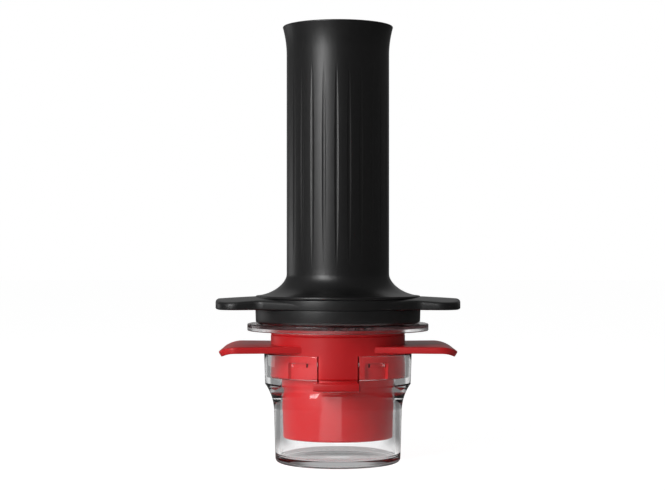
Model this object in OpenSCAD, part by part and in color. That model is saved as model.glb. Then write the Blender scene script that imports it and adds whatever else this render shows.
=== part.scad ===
// Handheld manual espresso maker: a clear cup, a red filter holder with two
// finger wings, a clear water chamber, and a black plunger whose fluted sleeve
// slides up over the chamber. Shown with the plunger fully down.
// Millimetres, +Z up, origin at the middle of the cup's foot. The wings lie
// along X, the latch bars along Y.

/* [Cup] */
// Height of the cup's rim above the table
cup_h = 54.5; // [51:0.5:62]
// Wall of the socket at the cup's rim
rim_wall = 3.05; // [2.6:0.05:3.6]
// Radius gained from the shoulder's top to the rim
rim_draft = 0.5; // [0.2:0.05:1]
// Wall of the cup where the shoulder starts
waist_wall = 3.05; // [2.4:0.05:3.8]
// Radius lost from the waist down to the foot
foot_taper = 0.75; // [0.2:0.05:1.5]
// Depth of the socket that the holder stands in
socket_depth = 11.8; // [10.5:0.1:13]
// Height of the socket's ledge above the top of the shoulder
shoulder_drop = 3.7; // [2:0.1:5]
// Height of the curved shoulder
shoulder_rise = 14; // [10:0.5:18]
// Thickness of the cup's floor
cup_floor_t = 3.3; // [2.5:0.1:4.5]
// Rounding of the cup's foot
foot_round = 2.1; // [1:0.1:3]
// Radius of the shallow recess under the cup
recess_r = 15.7; // [10:0.1:22]
// Depth of the shallow recess under the cup
recess_d = 0.8; // [0.4:0.1:1.5]

/* [Filter holder] */
// Wall of the housing round the basket
housing_wall = 2.5; // [2:0.1:3.2]
// Length of the housing below the collar
housing_h = 30.5; // [27:0.5:33]
// Radius lost down the length of the housing
housing_taper = 0.75; // [0.3:0.05:1.2]
// Step out from the housing to the collar
collar_step = 5.5; // [5:0.1:7]
// Height of the collar
collar_h = 22.4; // [21.5:0.1:25]
// Wall of the collar round the bayonet groove
collar_wall = 2.8; // [2:0.1:3.4]
// Height of the brim that the collar lifts into the chamber's flange
brim_h = 1.5; // [0.8:0.1:2.2]
// Distance between the wing tips
wing_span = 116.2; // [106:0.1:126]
// Front-to-back depth of the wings where they leave the collar
wing_depth = 57; // [48:0.5:62]
// How the wings widen towards their tips, in degrees
wing_slope = 8; // [0:0.5:12]
// Thickness of the wings
wing_t = 3.1; // [2.4:0.1:4]
// Drop from the collar's top to the wings' upper face
wing_drop = 6.7; // [6.3:0.1:7]
// Radius of the bend at each wing tip
droop_r = 16; // [10:0.5:24]
// Angle of the bend at each wing tip
droop_angle = 31.5; // [15:0.5:45]
// Rounding of the wings' corners seen from above
wing_corner = 9; // [4:0.5:14]
// Width of each latch tab in the cup's notch
latch_w = 19.9; // [14:0.1:22]
// How far each latch bar stands past one side of its tab
bar_overhang = 1.9; // [0.8:0.05:3]
// Height of each latch bar
bar_h = 3.75; // [2.5:0.05:5]
// Thickness of each latch bar
bar_t = 1.75; // [1.2:0.05:3]
// Angle of each pocket from the latch beside it
pocket_angle = 32.5; // [29:0.5:45]
// Width of each pocket
pocket_w = 13; // [8:0.5:14]
// Height of each pocket
pocket_h = 8; // [6:0.5:9]
// Depth of each pocket
pocket_d = 1.6; // [1:0.1:1.9]
// Radius of the outlet nozzle
nozzle_r = 5.2; // [4:0.1:7]

/* [Basket] */
// Outer radius of the basket
basket_r = 25.35; // [24.8:0.05:26.5]
// Depth of the basket below its rim
basket_depth = 25; // [20:0.5:26]
// Sheet thickness of the basket
basket_wall = 0.6; // [0.4:0.05:0.9]
// Width of the rim that the basket hangs by
basket_rim_w = 1.75; // [1.2:0.05:2]
// Radius of each hole in the basket's floor
basket_hole_r = 0.5; // [0.3:0.05:0.8]
// Thickness of the gasket on the basket's rim
gasket_t = 1.6; // [1:0.1:2]

/* [Water chamber] */
// Radius of the chamber's bore
bore_r = 16; // [14.5:0.1:16.8]
// Wall of the chamber's tube
tube_wall = 2.6; // [2:0.1:2.9]
// Travel of the plunger
stroke = 100; // [70:1:110]
// Radius of the chamber's flange
flange_r = 45.2; // [42.5:0.1:46]
// Height of the rim round the chamber's flange
flange_t = 3.5; // [2.8:0.05:4]
// Thickness of the flange inside that rim
flange_web_t = 1.85; // [1.4:0.05:2.4]
// Depth of the bayonet lugs
lug_d = 2.6; // [1.8:0.1:3]
// Height of the bayonet lugs
lug_h = 4.1; // [3:0.1:4.4]
// Half the angle that each bayonet lug spans
lug_half = 16; // [10:1:18]
// Turn that frees the chamber from the holder
twist = 50; // [45:1:60]
// Width of the two guide keys along the tube
key_w = 3; // [2:0.1:4]
// Height of the guide keys
key_d = 1.6; // [1:0.1:1.7]

/* [Grip sleeve] */
// Outer radius of the fluted tube
sleeve_r = 25.6; // [25.3:0.05:27]
// Wall of the fluted tube
sleeve_wall = 3; // [2.6:0.1:3.4]
// Radius of the lip at the sleeve's foot
lip_r = 41; // [39:0.1:42]
// Thickness of the lip at the sleeve's foot
lip_t = 1.5; // [1:0.1:2]
// Height of the flare above the lip
flare_h = 10.6; // [8:0.1:14]
// Fullness of the foot's flare: 2 is a plain ellipse
flare_power = 1.75; // [1.5:0.05:2]
// Height of the flare at the sleeve's top
top_flare_h = 14.4; // [8:0.2:20]
// Radius gained in the flare at the sleeve's top
top_flare = 2.05; // [1:0.05:3]
// Number of flutes round the sleeve
flute_count = 26; // [12:1:30]
// Width of a flute at its middle
flute_w = 2.1; // [1.2:0.1:2.8]
// Depth of a flute at its middle
flute_d = 0.45; // [0.3:0.05:0.7]
// Turn of the first flute from the front
flute_phase = -1.7; // [-7:0.1:7]

/* [Wing plate] */
// Distance between the tips of the plate's ears
ear_span = 121.8; // [116:0.2:128]
// Half the greatest depth of an ear, front to back
ear_half = 28.5; // [24:0.5:32]
// Rounding of an ear's corners seen from above
ear_corner = 9; // [6:0.5:12]
// Rounding of the neck between an ear and the disc
neck_r = 8; // [5:0.5:12]
// Thickness of the plate under the sleeve's lip
plate_t = 4.95; // [4:0.05:6]
// Height of the ears' crest above the lip's seat
crest_h = 2.05; // [1:0.05:2.4]
// Fall of the crest from the middle to the ear's tip
crest_fall = 2.1; // [0.8:0.1:2.6]
// Fall of the ear's top from its crest to the front edge
crown_fall = 1.8; // [0.8:0.1:2.2]
// Height of the skirt under the plate
skirt_h = 7.05; // [6:0.05:9]
// Wall of the skirt
skirt_wall = 2.6; // [2:0.1:3.2]
// Radius of the circle that the plate's screws stand on
screw_circle = 28.5; // [28:0.1:29.5]

/* [Plunger] */
// Radius of the piston rod
rod_r = 6.2; // [5:0.1:7.5]
// Length of the piston
piston_h = 12.2; // [11:0.1:15]
// Height of the guide ring in the sleeve's foot
guide_h = 17.2; // [12:0.1:22]
// Thickness of the palm cap
cap_t = 4.6; // [4:0.1:6]
// Radius of the soft pad on the palm cap
pad_r = 20.5; // [15:0.5:21.5]

/* [Hidden] */

round_fn = 128;      // facets of the large rounds
small_fn = 48;       // facets of the small rounds
crown_fn = 3600;     // facets of a whole turn of the ears' wide crown
arc_n = 14;          // segments of a curved profile
over = 1;            // how far a cut runs past a face
fit = 0.15;          // between two pieces that are assembled for good
seat = 0.05;         // between two flat faces that are clamped together
play = 0.3;          // between two pieces that move past each other
slip = 0.1;          // between a seal and its bore
cup_gap = 0.85;      // between the housing and the cup's bore
socket_gap = 0.3;    // between the collar and the cup's socket
turn_gap = 0.25;     // between the collar's brim and the chamber's flange
small_round = 0.6;   // rounding of thin plastic edges

// --- radii, from the basket outward
cavity_r = basket_r + fit;
housing_r = cavity_r + housing_wall;
collar_r = housing_r + collar_step;
groove_r = collar_r - collar_wall;
lip_bore_r = groove_r - lug_d - play;
spigot_r = lip_bore_r - play;
seat_bore_r = basket_r + basket_rim_w + 2 * fit;
socket_r = collar_r + socket_gap;
cup_rim_r = socket_r + rim_wall;
shoulder_r = cup_rim_r - rim_draft;
cup_bore_r = housing_r + cup_gap;
waist_r = cup_bore_r + waist_wall;
foot_r = waist_r - foot_taper;

// --- heights, from the table upward
ledge_z = cup_h - socket_depth;
shoulder_z1 = ledge_z - shoulder_drop;
shoulder_z0 = shoulder_z1 - shoulder_rise;
collar_z0 = ledge_z + play;
collar_z1 = collar_z0 + collar_h;
housing_z0 = collar_z0 - housing_h;
wing_z1 = collar_z1 - wing_drop;
wing_z0 = wing_z1 - wing_t;
lip_h = 3;                        // height of the collar's bayonet lip
lip_z0 = collar_z1 - lip_h;
lug_z1 = lip_z0 - play;
lug_z0 = lug_z1 - lug_h;
spigot_z0 = lug_z0 - 0.4;
gasket_z1 = spigot_z0 - turn_gap;
gasket_z0 = gasket_z1 - gasket_t;
basket_z1 = gasket_z0 - seat;
basket_seat_z = basket_z1 - basket_wall - seat;
basket_z0 = basket_z1 - basket_depth;
brim_z1 = collar_z1 + brim_h;
recess_z1 = brim_z1 + turn_gap;   // ceiling of the recess under the flange
flange_z1 = recess_z1 + flange_web_t;
flange_z0 = flange_z1 - flange_t;
skirt_z0 = flange_z1 + play;
skirt_z1 = skirt_z0 + skirt_h;
plate_z0 = skirt_z1 + seat;
plate_z1 = plate_z0 + plate_t;    // seat of the sleeve's lip
sleeve_z0 = plate_z1 + seat;
guide_z0 = sleeve_z0 + seat;
guide_z1 = guide_z0 + guide_h;
bead_z0 = guide_z1 + stroke + play;
bead_h = 3;                       // stop bead round the chamber's mouth
chamber_z1 = bead_z0 + bead_h;
cap_gap = 9.65;                   // from the chamber's mouth to the palm cap
cap_z0 = chamber_z1 + cap_gap;
cap_z1 = cap_z0 + cap_t;
rim_rise = 0.8;                   // of the sleeve's rim above the cap
sleeve_z1 = cap_z1 + rim_rise;

// --- chamber and plunger
tube_r = bore_r + tube_wall;
chamber_floor_t = 3.6;
cavity_z1 = collar_z1 + 0.6;      // ceiling of the hollow spigot
chamber_floor_z = cavity_z1 + chamber_floor_t;
spigot_wall = 3.3;
spigot_bore_r = spigot_r - spigot_wall;
bead_r = tube_r + 2.8;
guide_bore_r = tube_r + play;
key_r = tube_r + key_d;
sleeve_bore_r = sleeve_r - sleeve_wall;
guide_r = sleeve_bore_r + 0.5;
plate_bore_r = key_r + 2 * play;
cap_r = sleeve_bore_r + 1.9;
boss_r = rod_r + 3.3;             // socket boss under the palm cap
boss_h = 12.5;
boss_z0 = cap_z0 - boss_h;
rod_z1 = cap_z0 - 2.6;
piston_r = bore_r - play;
seal_r = bore_r - slip;
screw_head_h = 1.6;
thin_head_h = 0.9;                // head of the screw under the retainer
retainer_t = 1.4;
retainer_inset = 0.6;             // how far that head sits inside the retainer
screw_gap = 0.5;                  // from the lowest screw head to the floor
retainer_z0 = chamber_floor_z + screw_gap + thin_head_h - retainer_inset;
seal_z0 = retainer_z0 + retainer_t + seat;
piston_nose_h = 3.6;              // nose that carries the lip seal
piston_z0 = seal_z0;
piston_z1 = piston_z0 + piston_h;
rod_shelf_t = 1;                  // floor of the rod's socket in the piston
rod_z0 = piston_z0 + piston_nose_h + rod_shelf_t;
nose_r = piston_r - 3.2;
oring_t = 1.6;                    // thickness of the O-ring
oring_drop = 3.4;                 // from the piston's top to the O-ring's middle
oring_z = piston_z1 - oring_drop;
groove_floor_r = seal_r - oring_t - seat;
m3_r = 1.5;                       // shank of the larger screws
m3_head_r = 2.9;
m25_r = 1.25;                     // shank of the plate screws
m25_head_r = 2.3;
thread_gap = 0.05;                // between a shank and its pilot hole
hole_spare = 1;                   // how much deeper a blind hole is than its screw
rod_screw_grip = 12;              // of the upper screw in the rod
retainer_screw_grip = 8;          // of the lower screw in the rod
pad_inset = 1;                    // depth of the pad's seat in the palm cap
head_room = 2.4;                  // from the pad's seat to the floor of the screw's well
skirt_web_t = 2.95;               // web of the skirt under the wing plate
skirt_boss_h = 1.2;               // boss round each plate screw, below the web
counterbore_d = screw_head_h + 0.3;
plate_screw_z = skirt_z1 - skirt_web_t - skirt_boss_h + counterbore_d - seat;
plate_screw_z1 = sleeve_z0 + lip_t + 2;
plate_screw_angles = [45, 135, 225, 315];

// --- bayonet and the holder's floor
lug_count = 3;
lug_step = 360 / lug_count;
funnel_inset = 5;                 // from the housing's foot up to the funnel at the nozzle
funnel_z0 = housing_z0 + funnel_inset;
funnel_t = 2.4;                   // thickness of the funnel
funnel_z1 = funnel_z0 + funnel_t;
nozzle_seat_r = nozzle_r + fit;

// --- latch and pockets
bar_z1 = collar_z0 - 1.25;
bar_z0 = bar_z1 - bar_h;
bar_r = cup_rim_r + play;
bar_w = latch_w + bar_overhang;
web_r = collar_r - 2;             // inner face of the latch's web
notch_w = latch_w + 2 * play;
notch_z0 = bar_z0 - play;
pocket_angles = [pocket_angle, -pocket_angle, 180 + pocket_angle, 180 - pocket_angle];
cup_lug_play = 2.5;               // on either side of a cup lug in its pocket
cup_lug_w = pocket_w - 2 * cup_lug_play;
cup_lug_h = 1.8;
cup_lug_z1 = collar_z0 + pocket_h - play;

// --- wings: outline seen from above, first quadrant
wing_root_x = sqrt(pow(collar_r, 2) - pow(wing_depth / 2, 2));
wing_mid_y = wing_depth / 2 - wing_root_x * tan(wing_slope);
wing_x = wing_span / 2 - wing_corner;
wing_c = [wing_x, wing_mid_y + wing_x * tan(wing_slope) - wing_corner / cos(wing_slope)];

// --- ears: outline seen from above, first quadrant
neck_angle = 27.6;                // where the outline leaves the lip's circle
ear_slope = 12;                   // how the ear widens towards its tip
ear_tip_r = 100;                  // radius of the ear's bowed tip
ear_y = ear_half - ear_corner;
ear_tip_x = ear_span / 2 - ear_tip_r;
ear_tip_a = asin(ear_y / (ear_tip_r - ear_corner));
ear_x = ear_tip_x + (ear_tip_r - ear_corner) * cos(ear_tip_a);
disc_n = [sin(neck_angle), cos(neck_angle)];
ear_n = [-sin(ear_slope), cos(ear_slope)];
disc_k = lip_r + neck_r;
ear_k = ear_n * [ear_x, ear_y] + ear_corner + neck_r;
neck_det = disc_n[0] * ear_n[1] - disc_n[1] * ear_n[0];
neck_c = [disc_k * ear_n[1] - ear_k * disc_n[1], ear_k * disc_n[0] - disc_k * ear_n[0]] / neck_det;
crest_r = pow(ear_span / 2, 2) / (2 * crest_fall);
crown_r = pow(ear_half, 2) / (2 * crown_fall);

// --- flutes
flute_foot_gap = 16.7;            // plain tube below the flutes
flute_head_gap = 18.4;            // plain tube above the flutes
flute_z0 = sleeve_z0 + flute_foot_gap;
flute_z1 = sleeve_z1 - flute_head_gap;
flute_len = flute_z1 - flute_z0;
flute_bow_r = pow(flute_len / 2, 2) / (2 * flute_d);
flute_cut_r = 1 / (2 * flute_d / pow(flute_w / 2, 2) - 1 / sleeve_r);

// points along an arc about c
function arc(c, r, a0, a1, n = 6) =
    [for (i = [0:n]) let (a = a0 + (a1 - a0) * i / n) c + r * [cos(a), sin(a)]];

// radius of an arc that starts upright and gains dr over the height h
function bow(dr, h) = (h * h + dr * dr) / (2 * dr);

// how far that arc has moved out at the height t
function bowed(dr, h, t) = bow(dr, h) - sqrt(pow(bow(dr, h), 2) - t * t);

module turned(fn = round_fn) {
    rotate_extrude($fn = fn) children();
}

module ring(r_in, r_out, z0, z1) {
    turned() translate([r_in, z0]) square([r_out - r_in, z1 - z0]);
}

// ring whose outer edges are rounded by e
module soft_ring(r_in, r_out, z0, z1, e) {
    turned() polygon(concat([[r_in, z0]], arc([r_out - e, z0 + e], e, -90, 0),
        arc([r_out - e, z1 - e], e, 0, 90), [[r_in, z1]]));
}

module bore(r, z0, z1, fn = small_fn) {
    translate([0, 0, z0]) cylinder(r = r, h = z1 - z0, $fn = fn);
}

module four_way() {
    for (mx = [0, 1], my = [0, 1]) mirror([mx, 0, 0]) mirror([0, my, 0]) children();
}

// sector of a ring, centred on the direction a
module sector(r_in, r_out, z0, z1, a, half) {
    rotate([0, 0, a - half]) rotate_extrude(angle = 2 * half, $fn = round_fn)
        translate([r_in, z0]) square([r_out - r_in, z1 - z0]);
}

// ---------------------------------------------------------------- cup

module cup_outline() {
    inner_round = 1.8;
    polygon(concat(
        [[0, recess_d], [recess_r, recess_d], [recess_r + recess_d / 2, 0]],
        arc([foot_r - foot_round, foot_round], foot_round, -90, 0),
        [for (i = [0:arc_n]) let (t = shoulder_rise * i / arc_n)
            [waist_r + bowed(shoulder_r - waist_r, shoulder_rise, t), shoulder_z0 + t]],
        arc([cup_rim_r - small_round, cup_h - small_round], small_round, 0, 90),
        arc([socket_r + small_round, cup_h - small_round], small_round, 90, 180),
        [[socket_r, ledge_z], [cup_bore_r, ledge_z]],
        arc([cup_bore_r - inner_round, cup_floor_t + inner_round], inner_round, 0, -90),
        [[0, cup_floor_t]]));
}

// room for a latch tab: the cup's wall outside the web's inner face
module latch_notch() {
    difference() {
        translate([-notch_w / 2, -cup_rim_r - over, notch_z0])
            cube([notch_w, cup_rim_r, cup_h + over - notch_z0]);
        bore(web_r - play, notch_z0 - over, ledge_z, round_fn);
    }
}

module cup_lug() {
    lug_in = collar_r - pocket_d + play;
    intersection() {
        translate([-cup_lug_w / 2, -socket_r - over, cup_lug_z1 - cup_lug_h])
            cube([cup_lug_w, socket_r + over - lug_in, cup_lug_h]);
        bore(socket_r + small_round, ledge_z, cup_h, round_fn);
    }
}

module espresso_cup() {
    color([0.85, 0.88, 0.9, 0.35]) {
        difference() {
            turned() cup_outline();
            for (a = [0, 180]) rotate([0, 0, a]) latch_notch();
        }
        for (a = pocket_angles) rotate([0, 0, a]) cup_lug();
    }
}

// ---------------------------------------------------------------- filter holder

// body of the holder: collar, housing, basket seat and outlet funnel
module holder_outline() {
    foot_t = 2.3;              // wall of the housing's foot ring
    funnel_rise = 5.6;
    nozzle_ring = 2;           // flat round the nozzle's seat
    foot_out_r = housing_r - housing_taper;
    foot_edge = 1;
    groove_line = 0.35;        // fine line round the collar
    groove_line_z = collar_z1 - 1.8;
    brim_t = 2.2;              // wall of the brim
    seat_z1 = lug_z0 - 0.8;
    polygon(concat(
        [[foot_out_r - foot_t, housing_z0]],
        arc([foot_out_r - foot_edge, housing_z0 + foot_edge], foot_edge, -90, 0),
        [[housing_r, collar_z0], [collar_r - small_round, collar_z0],
         [collar_r, collar_z0 + small_round],
         [collar_r, groove_line_z - groove_line], [collar_r - groove_line, groove_line_z],
         [collar_r, groove_line_z + groove_line]],
        arc([collar_r - small_round, brim_z1 - small_round], small_round, 0, 90),
        [[collar_r - brim_t, brim_z1], [collar_r - brim_t, collar_z1],
         [lip_bore_r, collar_z1], [lip_bore_r, lip_z0], [groove_r, lip_z0],
         [groove_r, seat_z1], [seat_bore_r, seat_z1], [seat_bore_r, basket_seat_z],
         [cavity_r, basket_seat_z], [cavity_r, funnel_z1 + funnel_rise],
         [nozzle_seat_r, funnel_z1], [nozzle_seat_r, funnel_z0],
         [nozzle_seat_r + nozzle_ring, funnel_z0],
         [foot_out_r - foot_t, funnel_z0 + funnel_rise]]));
}

// side view of both wings, bent down at the tips
module wing_profile() {
    flat_x = wing_span / 2 - droop_r * sin(droop_angle);
    c = [flat_x, wing_z1 - droop_r];
    right = concat(arc(c, droop_r, 90, 90 - droop_angle, arc_n),
        arc(c, droop_r - wing_t, 90 - droop_angle, 90, arc_n));
    for (m = [0, 1]) mirror([m, 0]) polygon(concat([[0, wing_z0], [0, wing_z1]], right));
}

// both wings seen from above, each widening from the collar to its rounded tip
module wing_plan() {
    for (m = [0, 1]) mirror([m, 0]) polygon(concat(
        [[0, wing_mid_y]], arc(wing_c, wing_corner, 90 + wing_slope, 0, arc_n),
        arc([wing_c[0], -wing_c[1]], wing_corner, 0, -90 - wing_slope, arc_n),
        [[0, -wing_mid_y]]));
}

module finger_wings() {
    intersection() {
        rotate([90, 0, 0]) linear_extrude(2 * wing_depth, center = true) wing_profile();
        translate([0, 0, wing_z0 - droop_r]) linear_extrude(2 * droop_r) wing_plan();
    }
}

// tab below the collar that carries the bar in front of the cup's wall
module latch() {
    bar_edge = 0.8;
    intersection() {
        ring(web_r, bar_r + bar_t / 2, bar_z0, bar_z1);
        translate([-latch_w / 2, -2 * collar_r, bar_z0]) cube([latch_w, 2 * collar_r, bar_h]);
    }
    intersection() {
        ring(web_r, collar_r - 0.1, bar_z1 - over, collar_z0 + over);
        translate([-latch_w / 2, -2 * collar_r, bar_z0])
            cube([latch_w, 2 * collar_r, collar_h]);
    }
    intersection() {
        soft_ring(bar_r, bar_r + bar_t, bar_z0, bar_z1, bar_edge);
        translate([-latch_w / 2 - bar_overhang, -2 * collar_r, bar_z0])
            cube([bar_w, 2 * collar_r, bar_h]);
    }
}

module pocket() {
    translate([-pocket_w / 2, -collar_r - over, collar_z0 - over])
        cube([pocket_w, pocket_d + over, pocket_h + over]);
}

module filter_holder() {
    entry_half = lug_half + 2;
    stop_half = 3;
    stop_in = groove_r - lug_d + play;
    color([0.78, 0.12, 0.15]) {
        difference() {
            union() {
                turned() holder_outline();
                difference() {
                    finger_wings();
                    bore(groove_r + collar_wall / 2, wing_z0 - over, wing_z1 + over, round_fn);
                }
                for (a = [0, 180]) rotate([0, 0, a]) latch();
            }
            for (i = [1:lug_count]) sector(lip_bore_r - over, groove_r + play, lip_z0 - over,
                collar_z1 + over, lug_step * i + twist, entry_half);
            for (a = pocket_angles) rotate([0, 0, a]) pocket();
        }
        // a stop beside each lug, where the chamber is turned fully home
        for (i = [1:lug_count]) sector(stop_in, groove_r + small_round, lug_z0, lip_z0 + seat,
            lug_step * i - lug_half - 1 - stop_half, stop_half);
    }
}

module outlet_nozzle() {
    flange_w = 1.8;
    flange_h = 1.2;
    outlet_r = 2.2;
    edge = 0.8;
    spout_h = 4.4;             // of the nozzle below the funnel
    foot_z = funnel_z0 - spout_h;
    color([0.12, 0.12, 0.13]) turned(small_fn) polygon([
        [outlet_r, foot_z], [nozzle_r - edge, foot_z],
        [nozzle_r, foot_z + 2 * edge], [nozzle_r, funnel_z1 + fit],
        [nozzle_r + flange_w, funnel_z1 + flange_h + edge / 2],
        [nozzle_r + flange_w - edge, funnel_z1 + flange_h + edge],
        [outlet_r + edge, funnel_z1 + flange_h + edge / 2], [outlet_r, funnel_z1]]);
}

// ---------------------------------------------------------------- basket

module filter_basket() {
    rings = 6;
    pitch = 3.3;
    bend = 1.2;
    color([0.75, 0.76, 0.78]) difference() {
        turned() polygon(concat(
            [[0, basket_z0]],
            arc([basket_r - bend, basket_z0 + bend], bend, -90, 0),
            [[basket_r, basket_z1 - basket_wall],
             [basket_r + basket_rim_w, basket_z1 - basket_wall],
             [basket_r + basket_rim_w, basket_z1],
             [basket_r - basket_wall, basket_z1]],
            arc([basket_r - bend, basket_z0 + bend], bend - basket_wall, 0, -90),
            [[0, basket_z0 + basket_wall]]));
        bore(basket_hole_r, basket_z0 - over, basket_z0 + over, 16);
        for (i = [1:rings]) for (j = [0:6 * i - 1])
            rotate([0, 0, 60 * j / i]) translate([pitch * i, 0, 0])
                bore(basket_hole_r, basket_z0 - over, basket_z0 + over, 16);
    }
}

module basket_gasket() {
    color([0.2, 0.2, 0.21])
        soft_ring(basket_r - basket_wall + 0.3, basket_r + basket_rim_w, gasket_z0, gasket_z1, 0.4);
}

// ---------------------------------------------------------------- water chamber

plate_under = 1;                  // from the spigot's foot up to the shower screen
screen_t = 0.6;
screen_z0 = spigot_z0 + plate_under + screw_head_h;
disperser_z0 = screen_z0 + screen_t + seat;
disperser_t = 2.2;
disperser_z1 = disperser_z0 + disperser_t;
inner_plate_r = spigot_bore_r - play;

module chamber_outline() {
    edge = 1.1;
    rim_edge = 0.5;
    rim_t = 2.2;               // wall of the flange's rim
    foot_fillet = 2.5;
    polygon(concat(
        [[spigot_bore_r, spigot_z0], [spigot_r, spigot_z0], [spigot_r, recess_z1],
         [flange_r - rim_t, recess_z1], [flange_r - rim_t, flange_z0]],
        arc([flange_r - rim_edge, flange_z0 + rim_edge], rim_edge, -90, 0),
        arc([flange_r - rim_edge, flange_z1 - rim_edge], rim_edge, 0, 90),
        arc([tube_r + foot_fillet, flange_z1 + foot_fillet], foot_fillet, -90, -180),
        [[tube_r, bead_z0], [bead_r, bead_z0]],
        arc([bead_r - edge, chamber_z1 - edge], edge, 0, 90),
        [[bore_r + edge, chamber_z1], [bore_r, chamber_z1 - edge], [bore_r, chamber_floor_z],
         [0, chamber_floor_z], [0, cavity_z1], [spigot_bore_r, cavity_z1]]));
}

module water_chamber() {
    port_r = 1.5;
    port_circle = 10;
    ports = 6;
    screw_boss_r = 4.2;
    color([0.87, 0.9, 0.92, 0.35]) difference() {
        union() {
            turned() chamber_outline();
            for (i = [1:lug_count])
                sector(spigot_r - over, spigot_r + lug_d, lug_z0, lug_z1, lug_step * i, lug_half);
            for (a = [0, 180]) rotate([0, 0, a])
                translate([tube_r - over, -key_w / 2, flange_z1])
                    cube([key_d + over, key_w, bead_z0 + seat - flange_z1]);
            bore(screw_boss_r, disperser_z1 + seat, cavity_z1 + seat);
        }
        for (i = [1:ports]) rotate([0, 0, 360 * i / ports]) translate([port_circle, 0, 0])
            bore(port_r, cavity_z1 - over, chamber_floor_z + over);
        bore(m3_r + thread_gap, disperser_z1 - over, chamber_floor_z - 0.8);
    }
}

module dispersion_plate() {
    hole_r = 1;
    pitch = 6.5;
    color([0.16, 0.16, 0.17]) difference() {
        ring(m3_r + fit, inner_plate_r, disperser_z0, disperser_z1);
        for (i = [1:3]) for (j = [0:6 * i - 1])
            rotate([0, 0, 60 * j / i]) translate([pitch * i, 0, 0])
                bore(hole_r, disperser_z0 - over, disperser_z1 + over, 24);
    }
}

module shower_screen() {
    hole_r = 0.6;
    pitch = 3.6;
    color([0.75, 0.76, 0.78]) difference() {
        ring(m3_r + fit, inner_plate_r, screen_z0, screen_z0 + screen_t);
        for (i = [2:6]) for (j = [0:6 * i - 1])
            rotate([0, 0, 60 * j / i]) translate([pitch * i, 0, 0])
                bore(hole_r, screen_z0 - over, screen_z0 + over, 16);
    }
}

// pan-head screw with a cross recess, head down, shank up to z1
module cross_screw(head_r, shank_r, z_head, h_head, z1) {
    slot_w = 0.8;
    difference() {
        turned(small_fn) polygon(concat([[0, z_head]],
            arc([head_r - 0.7, z_head + 0.7], 0.7, -90, 0, 4),
            [[head_r, z_head + h_head], [shank_r, z_head + h_head],
             [shank_r, z1 - shank_r / 2], [shank_r / 2, z1], [0, z1]]));
        for (a = [0, 90]) rotate([0, 0, a])
            translate([-head_r * 0.55, -slot_w / 2, z_head - over])
                cube([head_r * 1.1, slot_w, over + h_head * 0.5]);
    }
}

module screen_screw() {
    color([0.7, 0.7, 0.72]) cross_screw(m3_head_r, m3_r, screen_z0 - seat - screw_head_h,
        screw_head_h, chamber_floor_z - 1);
}

// ---------------------------------------------------------------- plunger

// the foot's concave flare, from the tube down to the lip
function flare_pt(t) = [sleeve_r + (lip_r - sleeve_r)
    * (1 - pow(1 - pow(t, flare_power), 1 / flare_power)),
    sleeve_z0 + lip_t + flare_h * (1 - t)];

module sleeve_outline() {
    lip_edge = 0.5;
    rim_edge = 0.4;
    guide_step = guide_z1 + seat;
    polygon(concat(
        [[guide_r + fit, sleeve_z0]],
        arc([lip_r - lip_edge, sleeve_z0 + lip_edge], lip_edge, -90, 0, 3),
        arc([lip_r - lip_edge, sleeve_z0 + lip_t - lip_edge], lip_edge, 0, 90, 3),
        [for (i = [1:arc_n + 4]) let (u = i / (arc_n + 4)) flare_pt(1 - u * u)],
        [for (i = [0:arc_n]) let (t = top_flare_h * i / arc_n)
            [sleeve_r + bowed(top_flare, top_flare_h, t), sleeve_z1 - top_flare_h + t]],
        [[sleeve_r + top_flare - 2 * rim_edge, sleeve_z1],
         [cap_r + fit, sleeve_z1], [cap_r + fit, cap_z0 - seat],
         [sleeve_bore_r, cap_z0 - seat], [sleeve_bore_r, guide_step],
         [guide_r + fit, guide_step]]));
}

// one long shallow flute, pointed at both ends
module flute() {
    sweep = asin((flute_len / 2 + over) / flute_bow_r);
    flute_floor = sleeve_r - flute_d;
    translate([flute_floor + flute_cut_r + flute_bow_r, 0, (flute_z0 + flute_z1) / 2])
        rotate([90, 0, 0]) rotate([0, 0, 180 - sweep])
            rotate_extrude(angle = 2 * sweep, $fn = 3000)
                translate([flute_bow_r, 0]) circle(r = flute_cut_r, $fn = 24);
}

module grip_sleeve() {
    color([0.14, 0.14, 0.15]) difference() {
        turned() sleeve_outline();
        for (i = [1:flute_count])
            rotate([0, 0, flute_phase - 90 + 360 * i / flute_count]) flute();
        for (a = plate_screw_angles) rotate([0, 0, a]) translate([screw_circle, 0, 0])
            bore(m25_r + thread_gap, sleeve_z0 - over, plate_screw_z1 + play);
    }
}

module ear_quadrant() {
    polygon(concat(
        [[0, 0], lip_r * disc_n, neck_c - neck_r * disc_n, neck_c, neck_c - neck_r * ear_n,
         [ear_x, ear_y] + ear_corner * ear_n, [ear_x, ear_y]],
        arc([ear_tip_x, 0], ear_tip_r, ear_tip_a, 0, 4)));
}

module plate_plan() {
    difference() {
        union() {
            circle(r = lip_r, $fn = round_fn);
            four_way() ear_quadrant();
            four_way() translate([ear_x, ear_y]) circle(r = ear_corner, $fn = small_fn);
        }
        four_way() translate(neck_c) circle(r = neck_r, $fn = small_fn);
    }
}

// block whose top is crowned front to back and falls towards both ears' tips
module crowned_block() {
    top_z = plate_z1 + crest_h;
    half = lip_r + over;
    block_t = 2 * plate_t + crest_h;
    sweep = asin((ear_span / 2 + over) / crest_r);
    translate([0, 0, top_z - crest_r]) rotate([90, 0, 0]) rotate([0, 0, 90 - sweep])
        rotate_extrude(angle = 2 * sweep, $fn = crown_fn) intersection() {
            translate([crest_r - crown_r, 0]) circle(r = crown_r, $fn = crown_fn);
            translate([crest_r - block_t, -half]) square([block_t + over, 2 * half]);
        }
}

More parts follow.
